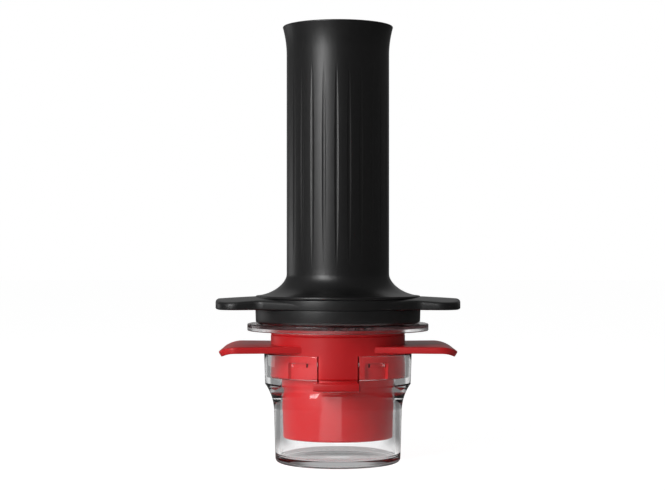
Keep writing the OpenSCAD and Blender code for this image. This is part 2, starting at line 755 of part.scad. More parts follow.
module wing_plate() {
    color([0.13, 0.13, 0.14]) difference() {
        union() {
            intersection() {
                translate([0, 0, plate_z0]) linear_extrude(plate_t + 2 * crest_h) plate_plan();
                crowned_block();
            }
            bore(lip_r, plate_z0, plate_z1, round_fn);
        }
        bore(lip_r + fit, plate_z1, plate_z1 + over + crest_h, round_fn);
        bore(plate_bore_r, plate_z0 - over, plate_z1 + over, round_fn);
        for (a = plate_screw_angles) rotate([0, 0, a]) translate([screw_circle, 0, 0])
            bore(m25_r + fit, plate_z0 - over, plate_z1 + over);
    }
}

module base_skirt() {
    edge = 1.2;
    draft = 0.25;
    boss_wall = 1.4;
    skirt_r = lip_r + draft;
    web_z0 = skirt_z1 - skirt_web_t;
    color([0.15, 0.15, 0.16]) difference() {
        union() {
            turned() polygon(concat([[skirt_r - skirt_wall, skirt_z0]],
                arc([lip_r - edge, skirt_z0 + edge], edge, -90, 0),
                [[skirt_r, skirt_z1], [skirt_r - skirt_wall, skirt_z1]]));
            ring(plate_bore_r, skirt_r - skirt_wall + seat, web_z0, skirt_z1);
            for (a = plate_screw_angles) rotate([0, 0, a]) translate([screw_circle, 0, 0])
                bore(m25_head_r + boss_wall, web_z0 - skirt_boss_h, skirt_z1 - seat);
        }
        for (a = plate_screw_angles) rotate([0, 0, a]) translate([screw_circle, 0, 0]) {
            bore(m25_r + fit, skirt_z0 - over, skirt_z1 + over);
            bore(m25_head_r + fit, skirt_z0 - over, plate_screw_z + seat);
        }
    }
}

module plate_screws() {
    color([0.6, 0.6, 0.62]) for (a = plate_screw_angles) rotate([0, 0, a])
        translate([screw_circle, 0, 0]) cross_screw(m25_head_r, m25_r,
            plate_screw_z - screw_head_h, screw_head_h, plate_screw_z1);
}

module guide_ring() {
    color([0.85, 0.85, 0.82]) difference() {
        ring(guide_bore_r, guide_r, guide_z0, guide_z1);
        for (a = [0, 180]) rotate([0, 0, a])
            translate([0, -key_w / 2 - play, guide_z0 - over])
                cube([key_r + play, key_w + 2 * play, guide_h + 2 * over]);
    }
}

module palm_cap() {
    edge = 0.5;
    pad_seat = cap_z1 - pad_inset;
    color([0.13, 0.13, 0.14]) difference() {
        union() {
            soft_ring(0, cap_r, cap_z0, cap_z1, edge);
            bore(boss_r, boss_z0, cap_z0 + seat, round_fn);
        }
        bore(rod_r + seat, boss_z0 - over, rod_z1 + seat, round_fn);
        bore(m3_r + fit, rod_z1 - over, cap_z1);
        bore(m3_head_r + fit, pad_seat - head_room, cap_z1 + over);
        bore(pad_r + fit, pad_seat, cap_z1 + over, round_fn);
    }
}

module palm_pad() {
    pad_edge_h = 1.1;
    dome = 0.5;
    z0 = cap_z1 - pad_inset + seat;
    color([0.2, 0.2, 0.21]) turned() polygon(concat([[0, z0], [pad_r, z0]],
        [for (i = [0:arc_n]) let (r = pad_r * (1 - i / arc_n))
            [r, z0 + pad_edge_h + dome * (1 - pow(r / pad_r, 2))]]));
}

module rod_screw() {
    head_z1 = cap_z1 - pad_inset - head_room + screw_head_h + seat;
    color([0.7, 0.7, 0.72]) translate([0, 0, head_z1]) mirror([0, 0, 1])
        cross_screw(m3_head_r, m3_r, 0, screw_head_h, head_z1 - rod_z1 + rod_screw_grip);
}

module piston_rod() {
    edge = 0.6;
    color([0.82, 0.83, 0.84]) difference() {
        turned() polygon([[0, rod_z0], [rod_r - edge, rod_z0], [rod_r, rod_z0 + edge],
            [rod_r, rod_z1 - edge], [rod_r - edge, rod_z1], [0, rod_z1]]);
        bore(m3_r + thread_gap, rod_z1 - rod_screw_grip - hole_spare, rod_z1 + over);
        bore(m3_r + thread_gap, rod_z0 - over, rod_z0 + retainer_screw_grip + hole_spare);
    }
}

module piston_head() {
    edge = 0.5;
    groove = oring_t / 2 + 0.1;
    color([0.25, 0.25, 0.27]) difference() {
        turned() polygon([[m3_r + fit, piston_z0], [nose_r, piston_z0],
            [nose_r, piston_z0 + piston_nose_h], [piston_r, piston_z0 + piston_nose_h],
            [piston_r, oring_z - groove], [groove_floor_r, oring_z - groove],
            [groove_floor_r, oring_z + groove], [piston_r, oring_z + groove],
            [piston_r, piston_z1 - edge], [piston_r - edge, piston_z1],
            [rod_r + seat, piston_z1], [rod_r + seat, rod_z0 - seat],
            [m3_r + fit, rod_z0 - seat]]);
    }
}

module piston_o_ring() {
    color([0.1, 0.1, 0.11]) turned() translate([seal_r - oring_t / 2, oring_z])
        circle(r = oring_t / 2, $fn = 24);
}

// U-cup: the lower lip flares out to the bore
module lip_seal() {
    color([0.1, 0.1, 0.11]) turned() polygon([[nose_r + seat, seal_z0 + 0.6],
        [nose_r + 1, seal_z0 + 0.1], [nose_r + 1.2, seal_z0 + 1.8], [seal_r - 1, seal_z0 + 1.8],
        [seal_r - 0.6, seal_z0 + 0.1], [seal_r, seal_z0 + 0.4],
        [seal_r - 0.3, seal_z0 + piston_nose_h - seat], [nose_r + seat, seal_z0 + piston_nose_h - seat]]);
}

module seal_retainer() {
    edge = 0.4;
    color([0.7, 0.71, 0.73]) difference() {
        soft_ring(m3_r + fit, nose_r + 1.6, retainer_z0, retainer_z0 + retainer_t, edge);
        bore(m3_head_r + fit, retainer_z0 - over, retainer_z0 + retainer_inset);
    }
}

module retainer_screw() {
    color([0.7, 0.7, 0.72]) cross_screw(m3_head_r, m3_r,
        retainer_z0 + retainer_inset - seat - thin_head_h, thin_head_h,
        rod_z0 + retainer_screw_grip);
}

espresso_cup();
filter_holder();
outlet_nozzle();
filter_basket();
basket_gasket();
water_chamber();
dispersion_plate();
shower_screen();
screen_screw();
grip_sleeve();
wing_plate();
base_skirt();
plate_screws();
guide_ring();
palm_cap();
palm_pad();
rod_screw();
piston_rod();
piston_head();
piston_o_ring();
lip_seal();
seal_retainer();
retainer_screw();
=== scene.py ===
"""Looks of a handheld manual espresso maker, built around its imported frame.

A clear cup carries a red filter holder with two finger wings. A clear water
chamber locks into the holder, and a black plunger with a fluted grip sleeve
and two palm ears slides over the chamber. Sizes of pieces are in millimetres
and are turned into metres where a point is placed. Lengths of the studio are
in metres. The front faces -Y.
"""
import math

import bmesh
import bpy
from mathutils import Matrix, Vector

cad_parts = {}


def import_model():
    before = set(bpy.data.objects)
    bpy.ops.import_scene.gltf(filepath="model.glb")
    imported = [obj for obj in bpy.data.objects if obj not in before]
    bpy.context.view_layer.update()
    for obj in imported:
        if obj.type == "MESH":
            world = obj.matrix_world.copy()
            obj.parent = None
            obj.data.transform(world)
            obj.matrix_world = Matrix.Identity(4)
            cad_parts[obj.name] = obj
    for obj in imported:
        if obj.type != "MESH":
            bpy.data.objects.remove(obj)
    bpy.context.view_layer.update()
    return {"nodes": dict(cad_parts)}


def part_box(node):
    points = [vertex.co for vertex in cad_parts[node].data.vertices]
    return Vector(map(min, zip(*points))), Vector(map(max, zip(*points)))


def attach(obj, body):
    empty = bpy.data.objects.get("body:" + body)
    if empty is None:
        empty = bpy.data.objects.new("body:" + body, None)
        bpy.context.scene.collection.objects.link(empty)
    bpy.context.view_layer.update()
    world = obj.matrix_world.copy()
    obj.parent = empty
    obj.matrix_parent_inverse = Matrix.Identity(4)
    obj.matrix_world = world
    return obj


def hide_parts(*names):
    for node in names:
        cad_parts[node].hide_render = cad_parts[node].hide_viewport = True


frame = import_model()

MM = 0.001
COLUMN = 2.0            # degrees between two columns of a turned piece
SHARP = 32.0            # degrees past which an edge stays crisp
MERGE = 0.0005 * MM     # points closer than this become one
ON_PLANE = 1e-7         # metres within which a point lies on a plane


def reach(node, axis, high=True):
    """Lowest or highest coordinate of a CAD node, in millimetres."""
    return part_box(node)[1 if high else 0]["xyz".index(axis)] / MM


# ---------------------------------------------------------------- sizes from the frame

FIT = 0.15              # gap round a part that is set into another
PLAY = 0.3              # gap round a part that turns or lifts out
SEAT = 0.05             # gap under a part that rests on another

CUP_H = reach("espresso_cup", "z")
CUP_RIM_R = reach("espresso_cup", "x")
HOLDER_Z0 = reach("filter_holder", "z", False)
BRIM_Z1 = reach("filter_holder", "z")
WING_X = reach("filter_holder", "x")
SKIRT_Z0 = reach("base_skirt", "z", False)
SKIRT_Z1 = reach("base_skirt", "z")
SKIRT_R = reach("base_skirt", "x")
PLATE_Z0 = reach("wing_plate", "z", False)
EAR_X = reach("wing_plate", "x")
SLEEVE_Z0 = reach("grip_sleeve", "z", False)
SLEEVE_Z1 = reach("grip_sleeve", "z")
LIP_R = reach("grip_sleeve", "x")
CAP_Z1 = reach("palm_cap", "z")
CAP_R = reach("palm_cap", "x")
PAD_R = reach("palm_pad", "x")
PAD_Z1 = reach("palm_pad", "z")

CUP_RIM_T = 3.05
SOCKET_DEPTH = 11.8
COLLAR_STEP = 5.5       # the collar stands out this far past the housing
HOUSING_GAP = 0.85      # between the housing and the cup's bore
BRIM_H = 1.5
WEB_T = 2               # of the wall behind a latch
BAR_DROP = 1.25         # from the collar's underside to the latch bar
BAR_H = 3.75
WING_DROP = 6.7         # from the collar's deck to the wings' top
WING_T = 3.1
PLATE_T = 4.95
PLATE_BORE_R = 20.8     # of the wing plate and the base skirt
HALF_DEPTH = 28.5       # of the finger wings and the palm ears along Y
EAR_LEAVE = 27.6        # degrees from Y at which an ear leaves its disc
LIP_T = 1.5             # of the flange round the sleeve's foot
CAP_T = 4.6
PAD_RECESS = 1

SOCKET_R = CUP_RIM_R - CUP_RIM_T
COLLAR_R = SOCKET_R - PLAY
HOUSING_R = COLLAR_R - COLLAR_STEP
CUP_BORE_R = HOUSING_R + HOUSING_GAP
LEDGE_Z = CUP_H - SOCKET_DEPTH
COLLAR_Z0 = LEDGE_Z + PLAY
COLLAR_Z1 = BRIM_Z1 - BRIM_H
BAR_Z1 = COLLAR_Z0 - BAR_DROP
BAR_Z0 = BAR_Z1 - BAR_H
NOTCH_Z0 = BAR_Z0 - PLAY
WEB_R = COLLAR_R - WEB_T
WING_Z1 = COLLAR_Z1 - WING_DROP
PLATE_Z1 = PLATE_Z0 + PLATE_T


# ---------------------------------------------------------------- modelling helpers

def arc(cx, cz, r, a0, a1, n):
    """Points of an arc from the angle a0 to a1, in degrees."""
    turns = [math.radians(a0 + (a1 - a0) * i / n) for i in range(n + 1)]
    return [(cx + r * math.cos(t), cz + r * math.sin(t)) for t in turns]


def outline(*corners, segments=5):
    """Outline through corners: (r, z) stays sharp, (r, z, radius) is rounded by its radius."""
    points = []
    for i, corner in enumerate(corners):
        here = Vector(corner[:2])
        if len(corner) < 3:
            points.append(tuple(here))
            continue
        back = (Vector(corners[i - 1][:2]) - here).normalized()
        on = (Vector(corners[(i + 1) % len(corners)][:2]) - here).normalized()
        half = back.angle(on) / 2
        middle = here + (back + on).normalized() * (corner[2] / math.sin(half))
        first = here + back * (corner[2] / math.tan(half)) - middle
        last = here + on * (corner[2] / math.tan(half)) - middle
        turn = first.angle_signed(last)
        for k in range(segments + 1):
            spoke = first.copy()
            spoke.rotate(Matrix.Rotation(-turn * k / segments, 2))
            points.append(tuple(middle + spoke))
    return points


def spin(bm, points, start=0.0, sweep=360.0, column=COLUMN):
    """Spins an outline of (radius, height) points about the upright axis."""
    c, s = math.cos(math.radians(start)), math.sin(math.radians(start))
    verts = [bm.verts.new(Vector((r * c, r * s, z)) * MM) for r, z in points]
    edges = [bm.edges.new(pair) for pair in zip(verts, verts[1:])]
    on_axis = points[0][0] == 0 and points[-1][0] == 0
    if not on_axis:
        edges.append(bm.edges.new((verts[-1], verts[0])))
    bmesh.ops.spin(
        bm, geom=verts + edges, cent=(0, 0, 0), axis=(0, 0, 1),
        angle=math.radians(sweep), steps=round(sweep / column),
        use_merge=sweep == 360, use_duplicate=False)
    bmesh.ops.remove_doubles(bm, verts=bm.verts, dist=MERGE)


def spin_by_column(bm, outline_at):
    """Spins each run of columns that has one outline, and closes the steps between runs."""
    count = round(360 / COLUMN)
    kinds = [outline_at((i + 0.5) * COLUMN) for i in range(count)]
    first = next(i for i in range(count) if kinds[i] != kinds[i - 1])
    order = [(first + k) % count for k in range(count)]
    run = [order[0]]
    for i in order[1:] + [None]:
        if i is not None and kinds[i] == kinds[run[0]]:
            run.append(i)
            continue
        spin(bm, kinds[run[0]], run[0] * COLUMN, len(run) * COLUMN)
        run = [i]
    open_edges = [e for e in bm.edges if e.is_boundary]
    bmesh.ops.holes_fill(bm, edges=open_edges, sides=0)


def polar(co):
    """(radius, angle in degrees from -Y towards +X, height) of a point, in mm and degrees."""
    return math.hypot(co.x, co.y) / MM, math.degrees(math.atan2(co.x, -co.y)), co.z / MM


def near(angle, centres, half):
    """True if an angle lies within half of one of the centres."""
    return any(abs((angle - c + 180) % 360 - 180) < half for c in centres)


def front_angle(a):
    """Angle from -Y towards +X of a direction given from +X."""
    return a + 90


def push_wall(bm, radius, z0, z1, centres, half, depth):
    """Pushes the wall faces at a radius, between two heights, outwards by depth."""
    on_wall = 0.15
    faces = []
    for f in bm.faces:
        r, a, z = polar(f.calc_center_median())
        if abs(r - radius) < on_wall and z0 < z < z1 and near(a, centres, half):
            faces.append(f)
    made = bmesh.ops.extrude_face_region(bm, geom=faces)
    bmesh.ops.delete(bm, geom=faces, context="FACES_ONLY")
    for v in (g for g in made["geom"] if isinstance(g, bmesh.types.BMVert)):
        out = Vector((v.co.x, v.co.y, 0)).normalized()
        v.co += out * depth * MM


def crease_edges(bm, angle):
    """Edges whose two faces meet at more than an angle in degrees."""
    return [e for e in bm.edges if len(e.link_faces) == 2
            and math.degrees(e.calc_face_angle(0)) > angle]


def soften(bm, edges, radius, segments):
    """Rounds edges over by a radius in millimetres."""
    bmesh.ops.bevel(
        bm, geom=edges, offset=radius * MM, offset_type="OFFSET", segments=segments,
        profile=0.5, affect="EDGES", material=-1, clamp_overlap=True)


def piece(name, bm, material, body, slot, *nodes):
    """Turns a bmesh into a finished piece that rides on a body and stands for CAD nodes."""
    bmesh.ops.remove_doubles(bm, verts=bm.verts, dist=MERGE)
    bmesh.ops.recalc_face_normals(bm, faces=bm.faces)
    for f in bm.faces:
        f.smooth = True
    mesh = bpy.data.meshes.new(name)
    bm.to_mesh(mesh)
    bm.free()
    mesh.set_sharp_from_angle(angle=math.radians(SHARP))
    mesh.materials.append(material)
    made = bpy.data.objects.new(name, mesh)
    bpy.context.scene.collection.objects.link(made)
    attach(made, body)
    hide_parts(*nodes)


# ---------------------------------------------------------------- material helpers

class Nodes:
    """Short way to add and join nodes in a tree."""

    def __init__(self, tree):
        self.tree = tree

    def add(self, kind, inputs=None, **settings):
        """Adds a node, whose inputs are values or the outputs that feed them."""
        node = self.tree.nodes.new(kind)
        for key, value in settings.items():
            setattr(node, key, value)
        for key, value in (inputs or {}).items():
            if isinstance(value, bpy.types.NodeSocket):
                self.join(value, node.inputs[key])
            else:
                node.inputs[key].default_value = value
        return node

    def join(self, output, target):
        self.tree.links.new(output, target)

    def place(self):
        """Position on the piece, so that a pattern rides with it."""
        return self.add("ShaderNodeTexCoord").outputs["Object"]

    def math(self, operation, a, b=0.0, clamp=False):
        node = self.add("ShaderNodeMath", {0: a, 1: b}, operation=operation, use_clamp=clamp)
        return node.outputs[0]

    def fade(self, value, start, end, low=0.0, high=1.0):
        """Smooth step of a value from start to end."""
        node = self.add(
            "ShaderNodeMapRange",
            {"Value": value, "From Min": start, "From Max": end, "To Min": low, "To Max": high},
            interpolation_type="SMOOTHSTEP")
        return node.outputs["Result"]

    def mix_colour(self, share, a, b):
        """Mixes two colours. The numbers are the sockets that the node has for colours."""
        factor, first, second, mixed = 0, 6, 7, 2
        node = self.add("ShaderNodeMix", {factor: share, first: a, second: b}, data_type="RGBA")
        return node.outputs[mixed]

    def bump(self, height, distance_mm):
        node = self.add(
            "ShaderNodeBump",
            {"Height": height, "Distance": distance_mm * MM, "Strength": 1.0})
        return node.outputs[0]

    def noise(self, vector, size_mm, detail=2.0, rough=0.5):
        """Noise whose lumps are about a size in millimetres."""
        node = self.add(
            "ShaderNodeTexNoise",
            {"Vector": vector, "Scale": 1 / (size_mm * MM), "Detail": detail, "Roughness": rough})
        return node.outputs["Fac"]


def new_group(name, inputs, outputs):
    """Empty node group: float or vector inputs by their defaults, float outputs by name."""
    tree = bpy.data.node_groups.new(name, "ShaderNodeTree")
    for label, value in inputs.items():
        kind = "NodeSocketFloat" if isinstance(value, float) else "NodeSocketVector"
        socket = tree.interface.new_socket(label, in_out="INPUT", socket_type=kind)
        if isinstance(value, float):
            socket.default_value = value
    for label in outputs:
        tree.interface.new_socket(label, in_out="OUTPUT", socket_type="NodeSocketFloat")
    kit = Nodes(tree)
    return kit, kit.add("NodeGroupInput").outputs, kit.add("NodeGroupOutput").inputs


def moulded_grain():
    """Fine grain of a moulded surface, with broad changes of gloss from handling."""
    kit, given, out = new_group(
        "Moulded grain",
        {"Grain size": 0.35, "Gloss": 0.4, "Gloss change": 0.08}, ["Roughness", "Height"])
    at = kit.place()
    scale = kit.math("DIVIDE", 1 / MM, given["Grain size"])
    fine = kit.add("ShaderNodeTexNoise", {"Vector": at, "Scale": scale, "Detail": 3.0})
    broad = kit.noise(at, 22.0, 3.0)
    smear = kit.noise(at, 5.0, 2.0)
    swing = kit.math("SUBTRACT", kit.math("ADD", broad, kit.math("MULTIPLY", smear, 0.5)), 0.75)
    change = kit.math("MULTIPLY", swing, given["Gloss change"])
    rough = kit.math("ADD", given["Gloss"], change, True)
    kit.join(rough, out["Roughness"])
    kit.join(fine.outputs["Fac"], out["Height"])
    return kit.tree


def edge_wear():
    """Mask of edges that hands have polished, broken up by noise."""
    kit, given, out = new_group("Edge wear", {"Width": 0.5, "Amount": 0.5}, ["Mask"])
    radius = kit.math("MULTIPLY", given["Width"], MM)
    rounded = kit.add("ShaderNodeBevel", {"Radius": radius}, samples=4).outputs[0]
    flat = kit.add("ShaderNodeNewGeometry").outputs["Normal"]
    facing = kit.add("ShaderNodeVectorMath", {0: rounded, 1: flat}, operation="DOT_PRODUCT")
    turned = kit.math("SUBTRACT", 1.0, facing.outputs["Value"])
    edge = kit.fade(turned, 0.01, 0.22)
    at = kit.place()
    patchy = kit.fade(kit.noise(at, 6.0, 4.0, 0.6), 0.35, 0.65, 0.25, 1.0)
    mask = kit.math("MULTIPLY", kit.math("MULTIPLY", edge, patchy), given["Amount"], True)
    kit.join(mask, out["Mask"])
    return kit.tree


def settled_dust():
    """Mask of a thin film of dust on faces that look up."""
    kit, given, out = new_group("Settled dust", {"Amount": 0.2}, ["Mask"])
    normal = kit.add("ShaderNodeNewGeometry").outputs["Normal"]
    up = kit.add("ShaderNodeSeparateXYZ", {"Vector": normal}).outputs["Z"]
    at = kit.place()
    cloud = kit.fade(kit.noise(at, 9.0, 5.0, 0.6), 0.3, 0.75)
    lying = kit.fade(up, 0.3, 1.0)
    mask = kit.math("MULTIPLY", kit.math("MULTIPLY", lying, cloud), given["Amount"], True)
    kit.join(mask, out["Mask"])
    return kit.tree


def studio_backdrop():
    """Where a direction points: behind the object, to its left, or ahead, towards the camera."""
    kit, given, out = new_group(
        "Studio backdrop", {"Direction": (0, 0, 0)}, ["Behind", "Left", "Ahead"])
    apart = kit.add("ShaderNodeSeparateXYZ", {"Vector": given["Direction"]}).outputs
    square = [kit.math("MULTIPLY", apart[k], apart[k]) for k in "XY"]
    length = kit.math("SQRT", kit.math("ADD", *square))
    length = kit.math("MAXIMUM", length, 1e-6)
    cosine = kit.math("DIVIDE", apart["Y"], length)
    sine = kit.math("DIVIDE", apart["X"], length)
    card_edge, card_core = math.cos(math.radians(30)), math.cos(math.radians(15))
    left_edge, left_core = -0.2, -0.8
    ahead_edge, ahead_core = -0.82, -0.9
    right_end, right_core = 0.14, 0.08
    kit.join(kit.fade(cosine, card_edge, card_core), out["Behind"])
    kit.join(kit.fade(sine, left_edge, left_core), out["Left"])
    ahead = kit.fade(cosine, ahead_edge, ahead_core)
    ahead = kit.math("MULTIPLY", ahead, kit.fade(sine, right_end, right_core))
    kit.join(ahead, out["Ahead"])
    return kit.tree


GRAIN = moulded_grain()
WEAR = edge_wear()
DUST = settled_dust()
BACKDROP = studio_backdrop()


def new_material(name):
    made = bpy.data.materials.new(name)
    made.use_nodes = True
    made.node_tree.nodes.clear()
    return made, Nodes(made.node_tree)


def use_group(kit, tree, **values):
    inputs = {key.replace("_", " "): value for key, value in values.items()}
    return kit.add("ShaderNodeGroup", inputs, node_tree=tree).outputs


def rgb(r, g, b):
    return (r, g, b, 1.0)


def grey(level):
    return rgb(level, level, level)


def shaded(colour, factor):
    """A colour made darker or lighter by a factor."""
    return tuple(min(1, c * factor) for c in colour[:3]) + (1.0,)


WHITE = grey(1)
DUST_COLOUR = rgb(0.42, 0.40, 0.38)


def moulded(name, colour, worn, gloss, grain_mm=0.35, grain_height=0.012, wear=0.35,
            worn_gloss=0.28, dust=0.06, speckle=0.06, ior=1.5):
    """Moulded plastic or rubber: fine grain, uneven gloss, polished edges and a little dust."""
    made, kit = new_material(name)
    at = kit.place()
    grain = use_group(kit, GRAIN, Grain_size=grain_mm, Gloss=gloss, Gloss_change=0.1)
    worn_at = use_group(kit, WEAR, Width=0.5, Amount=wear)["Mask"]
    dust_at = use_group(kit, DUST, Amount=dust)["Mask"]
    dark, light = shaded(colour, 1 - speckle), shaded(colour, 1 + speckle)
    mottle = kit.mix_colour(kit.noise(at, 14.0, 4.0), dark, light)
    base = kit.mix_colour(worn_at, mottle, worn)
    base = kit.mix_colour(dust_at, base, DUST_COLOUR)
    rough = kit.mix_colour(worn_at, grain["Roughness"], grey(worn_gloss))
    bump = kit.bump(grain["Height"], grain_height)
    shader = kit.add(
        "ShaderNodeBsdfPrincipled",
        {"Base Color": base, "Roughness": rough, "Normal": bump, "IOR": ior})
    kit.add("ShaderNodeOutputMaterial", {"Surface": shader.outputs[0]})
    return made


def metal(name, colour, gloss, lines_mm=(0.2, 0.2, 0.2), line_height=0.004):
    """Metal with fine lines, longest along the axis where lines_mm is largest."""
    made, kit = new_material(name)
    at = kit.place()
    stretch = kit.add(
        "ShaderNodeMapping", {"Vector": at, "Scale": tuple(1 / (k * MM) for k in lines_mm)})
    fine = kit.add(
        "ShaderNodeTexNoise", {"Vector": stretch.outputs[0], "Scale": 1.0, "Detail": 3.0})
    broad = kit.noise(at, 8.0, 3.0)
    rough = kit.fade(broad, 0.3, 0.7, gloss * 0.8, gloss * 1.25)
    shade = kit.mix_colour(broad, shaded(colour, 0.88), colour)
    bump = kit.bump(fine.outputs["Fac"], line_height)
    shader = kit.add(
        "ShaderNodeBsdfPrincipled",
        {"Base Color": shade, "Roughness": rough, "Metallic": 1.0, "Normal": bump})
    kit.add("ShaderNodeOutputMaterial", {"Surface": shader.outputs[0]})
    return made


def clear_plastic(name, tint, haze_and_painted_red, gloss, ior, depth_mm, passed):
    """Clear moulded plastic that dims with depth and lets the lamps reach what is behind it.

    The share of lamp light that each surface passes can be over 1, which is a
    trick: it makes up for the light that glass would gather on a red piece.
    """
    made, kit = new_material(name)
    at = kit.place()
    rough = kit.fade(kit.noise(at, 12.0, 4.0), 0.35, 0.7, gloss, gloss * 2.5)
    bump = kit.bump(kit.noise(at, 7.0, 1.0), 0.004)
    mottle = kit.mix_colour(kit.noise(at, 30.0, 2.0), tint, WHITE)
    glass = kit.add(
        "ShaderNodeBsdfPrincipled",
        {"Base Color": mottle, "Roughness": rough, "IOR": ior, "Transmission Weight": 1.0,
         "Normal": bump})
    clear = kit.add("ShaderNodeBsdfTransparent", {"Color": grey(passed)})
    path = kit.add("ShaderNodeLightPath").outputs
    passing = kit.math("MAXIMUM", path["Is Shadow Ray"], path["Is Diffuse Ray"])
    mixed = kit.add("ShaderNodeMixShader", {0: passing, 1: glass.outputs[0], 2: clear.outputs[0]})
    # The depth colour dims long paths. A red one paints in red light from the holder seen through
    # the plastic.
    depth = kit.add("ShaderNodeVolumeAbsorption", {"Color": haze_and_painted_red, "Density": 1 / (depth_mm * MM)})
    kit.add("ShaderNodeOutputMaterial", {"Surface": mixed.outputs[0], "Volume": depth.outputs[0]})
    return made


BLACK_PLASTIC = moulded(
    "Black moulded plastic", rgb(0.0045, 0.0045, 0.0048), rgb(0.012, 0.012, 0.013), gloss=0.42,
    grain_mm=0.3, grain_height=0.006, wear=0.4, dust=0.012, ior=1.72)
GRIP_PLASTIC = moulded(
    "Satin black grip plastic", rgb(0.004, 0.004, 0.0043), rgb(0.011, 0.011, 0.012), gloss=0.385,
    grain_mm=0.25, grain_height=0.006, wear=0.35, dust=0.01, ior=1.75)
RED_PLASTIC = moulded(
    "Red moulded plastic", rgb(0.68, 0.008, 0.012), rgb(0.72, 0.02, 0.024), gloss=0.42,
    grain_mm=0.3, grain_height=0.004, wear=0.3, dust=0.008, speckle=0.04, ior=1.55)
BLACK_RUBBER = moulded(
    "Black rubber", rgb(0.014, 0.014, 0.015), rgb(0.03, 0.03, 0.03), gloss=0.62,
    grain_mm=0.2, grain_height=0.02, wear=0.2, worn_gloss=0.5)
GREY_PLASTIC = moulded(
    "Grey engineering plastic", rgb(0.045, 0.046, 0.05), rgb(0.08, 0.08, 0.085), gloss=0.42,
    grain_height=0.008)
WHITE_PLASTIC = moulded(
    "White acetal", rgb(0.72, 0.71, 0.66), rgb(0.8, 0.79, 0.75), gloss=0.38, grain_height=0.005)
SHEET_STEEL = metal(
    "Rolled sheet steel", rgb(0.62, 0.62, 0.63), gloss=0.24, lines_mm=(0.15, 2.5, 0.15))
SCREW_STEEL = metal("Screw steel", rgb(0.5, 0.49, 0.47), gloss=0.32)
ROD_METAL = metal(
    "Turned aluminium", rgb(0.72, 0.73, 0.75), gloss=0.26, lines_mm=(3.0, 3.0, 0.12),
    line_height=0.006)
CUP_PLASTIC = clear_plastic(
    "Clear cup plastic", rgb(0.97, 0.975, 0.98), haze_and_painted_red=rgb(0.2, 0.2, 0.22), gloss=0.012,
    ior=1.52, depth_mm=220, passed=1.18)
# Its red depth colour is painted red light: it stands for the red holder's brim seen through the
# flange's rim.
CHAMBER_PLASTIC = clear_plastic(
    "Clear chamber plastic", rgb(0.96, 0.965, 0.97), haze_and_painted_red=rgb(0.5, 0.16, 0.18), gloss=0.11,
    ior=1.54, depth_mm=50, passed=0.95)

CARRIED_OVER = {
    "outlet_nozzle": BLACK_PLASTIC,
    "filter_basket": SHEET_STEEL,
    "basket_gasket": BLACK_RUBBER,
    "water_chamber": CHAMBER_PLASTIC,
    "dispersion_plate": GREY_PLASTIC,
    "shower_screen": SHEET_STEEL,
    "screen_screw": SCREW_STEEL,
    "plate_screws": SCREW_STEEL,
    "guide_ring": WHITE_PLASTIC,
    "rod_screw": SCREW_STEEL,
    "piston_rod": ROD_METAL,
    "piston_head": GREY_PLASTIC,
    "piston_o_ring": BLACK_RUBBER,
    "lip_seal": BLACK_RUBBER,
    "seal_retainer": SHEET_STEEL,
    "retainer_screw": SCREW_STEEL,
}
for node_name, finish in CARRIED_OVER.items():
    node = frame["nodes"][node_name]
    node.data.materials.clear()
    node.data.materials.append(finish)


# ---------------------------------------------------------------- cup

BOWL_R = 31.9           # of the cup's outside, just below its shoulder
SHOULDER_Z0 = 25.0
SHOULDER_Z1 = 39.0
RIM_FLARE = 0.5         # of the rim past the shoulder's top


def shoulder(z0, z1, n):
    """Points of the cup's curved shoulder between two heights."""
    rise, gain = SHOULDER_Z1 - SHOULDER_Z0, CUP_RIM_R - RIM_FLARE - BOWL_R
    radius = (rise ** 2 + gain ** 2) / (2 * gain)
    heights = [z0 + (z1 - z0) * i / n for i in range(n + 1)]
    return [(BOWL_R + radius - math.sqrt(radius ** 2 - (z - SHOULDER_Z0) ** 2), z)
            for z in heights]


def espresso_cup():
    """Cup with a socket for the collar, two notches for the latches and four lugs."""
    floor_t, foot_r, foot_edge = 3.3, 31.15, 2.1
    recess_r, recess_d, recess_step = 15.7, 0.8, 0.4
    low_rows, high_rows = 22, 3
    notches, notch_half = (0, 180), 17
    lugs, lug_half = (32.5, -32.5, 147.5, -147.5), 7
    lug_z0, lug_z1, lug_depth = 48.9, 50.7, 1.6
    foot = outline((0, recess_d), (recess_r, recess_d), (recess_r + recess_step, 0),
                   (foot_r, 0, foot_edge), (BOWL_R, SHOULDER_Z0), segments=8)[:-1]
    low = shoulder(SHOULDER_Z0, NOTCH_Z0, low_rows)
    high = shoulder(NOTCH_Z0, SHOULDER_Z1, high_rows)[1:]
    rim = outline(high[-1], (CUP_RIM_R, CUP_H, 0.6), (SOCKET_R, CUP_H, 0.6), (SOCKET_R, lug_z1),
                  segments=6)[1:]
    wall = [(SOCKET_R, lug_z0), (SOCKET_R, LEDGE_Z)]
    inside = outline((WEB_R - PLAY, LEDGE_Z), (CUP_BORE_R, LEDGE_Z), (CUP_BORE_R, floor_t, 1.8),
                     (0, floor_t), segments=8)
    plain = foot + low + high + rim + wall + inside
    notched = foot + low + [(WEB_R - PLAY, NOTCH_Z0)] + inside
    bm = bmesh.new()
    spin_by_column(
        bm, lambda a: notched if near(front_angle(a), notches, notch_half) else plain)
    push_wall(bm, SOCKET_R, lug_z0, lug_z1, lugs, lug_half, -lug_depth)
    piece("cup", bm, CUP_PLASTIC, "cup", "clear_plastic", "espresso_cup")


# ---------------------------------------------------------------- filter holder

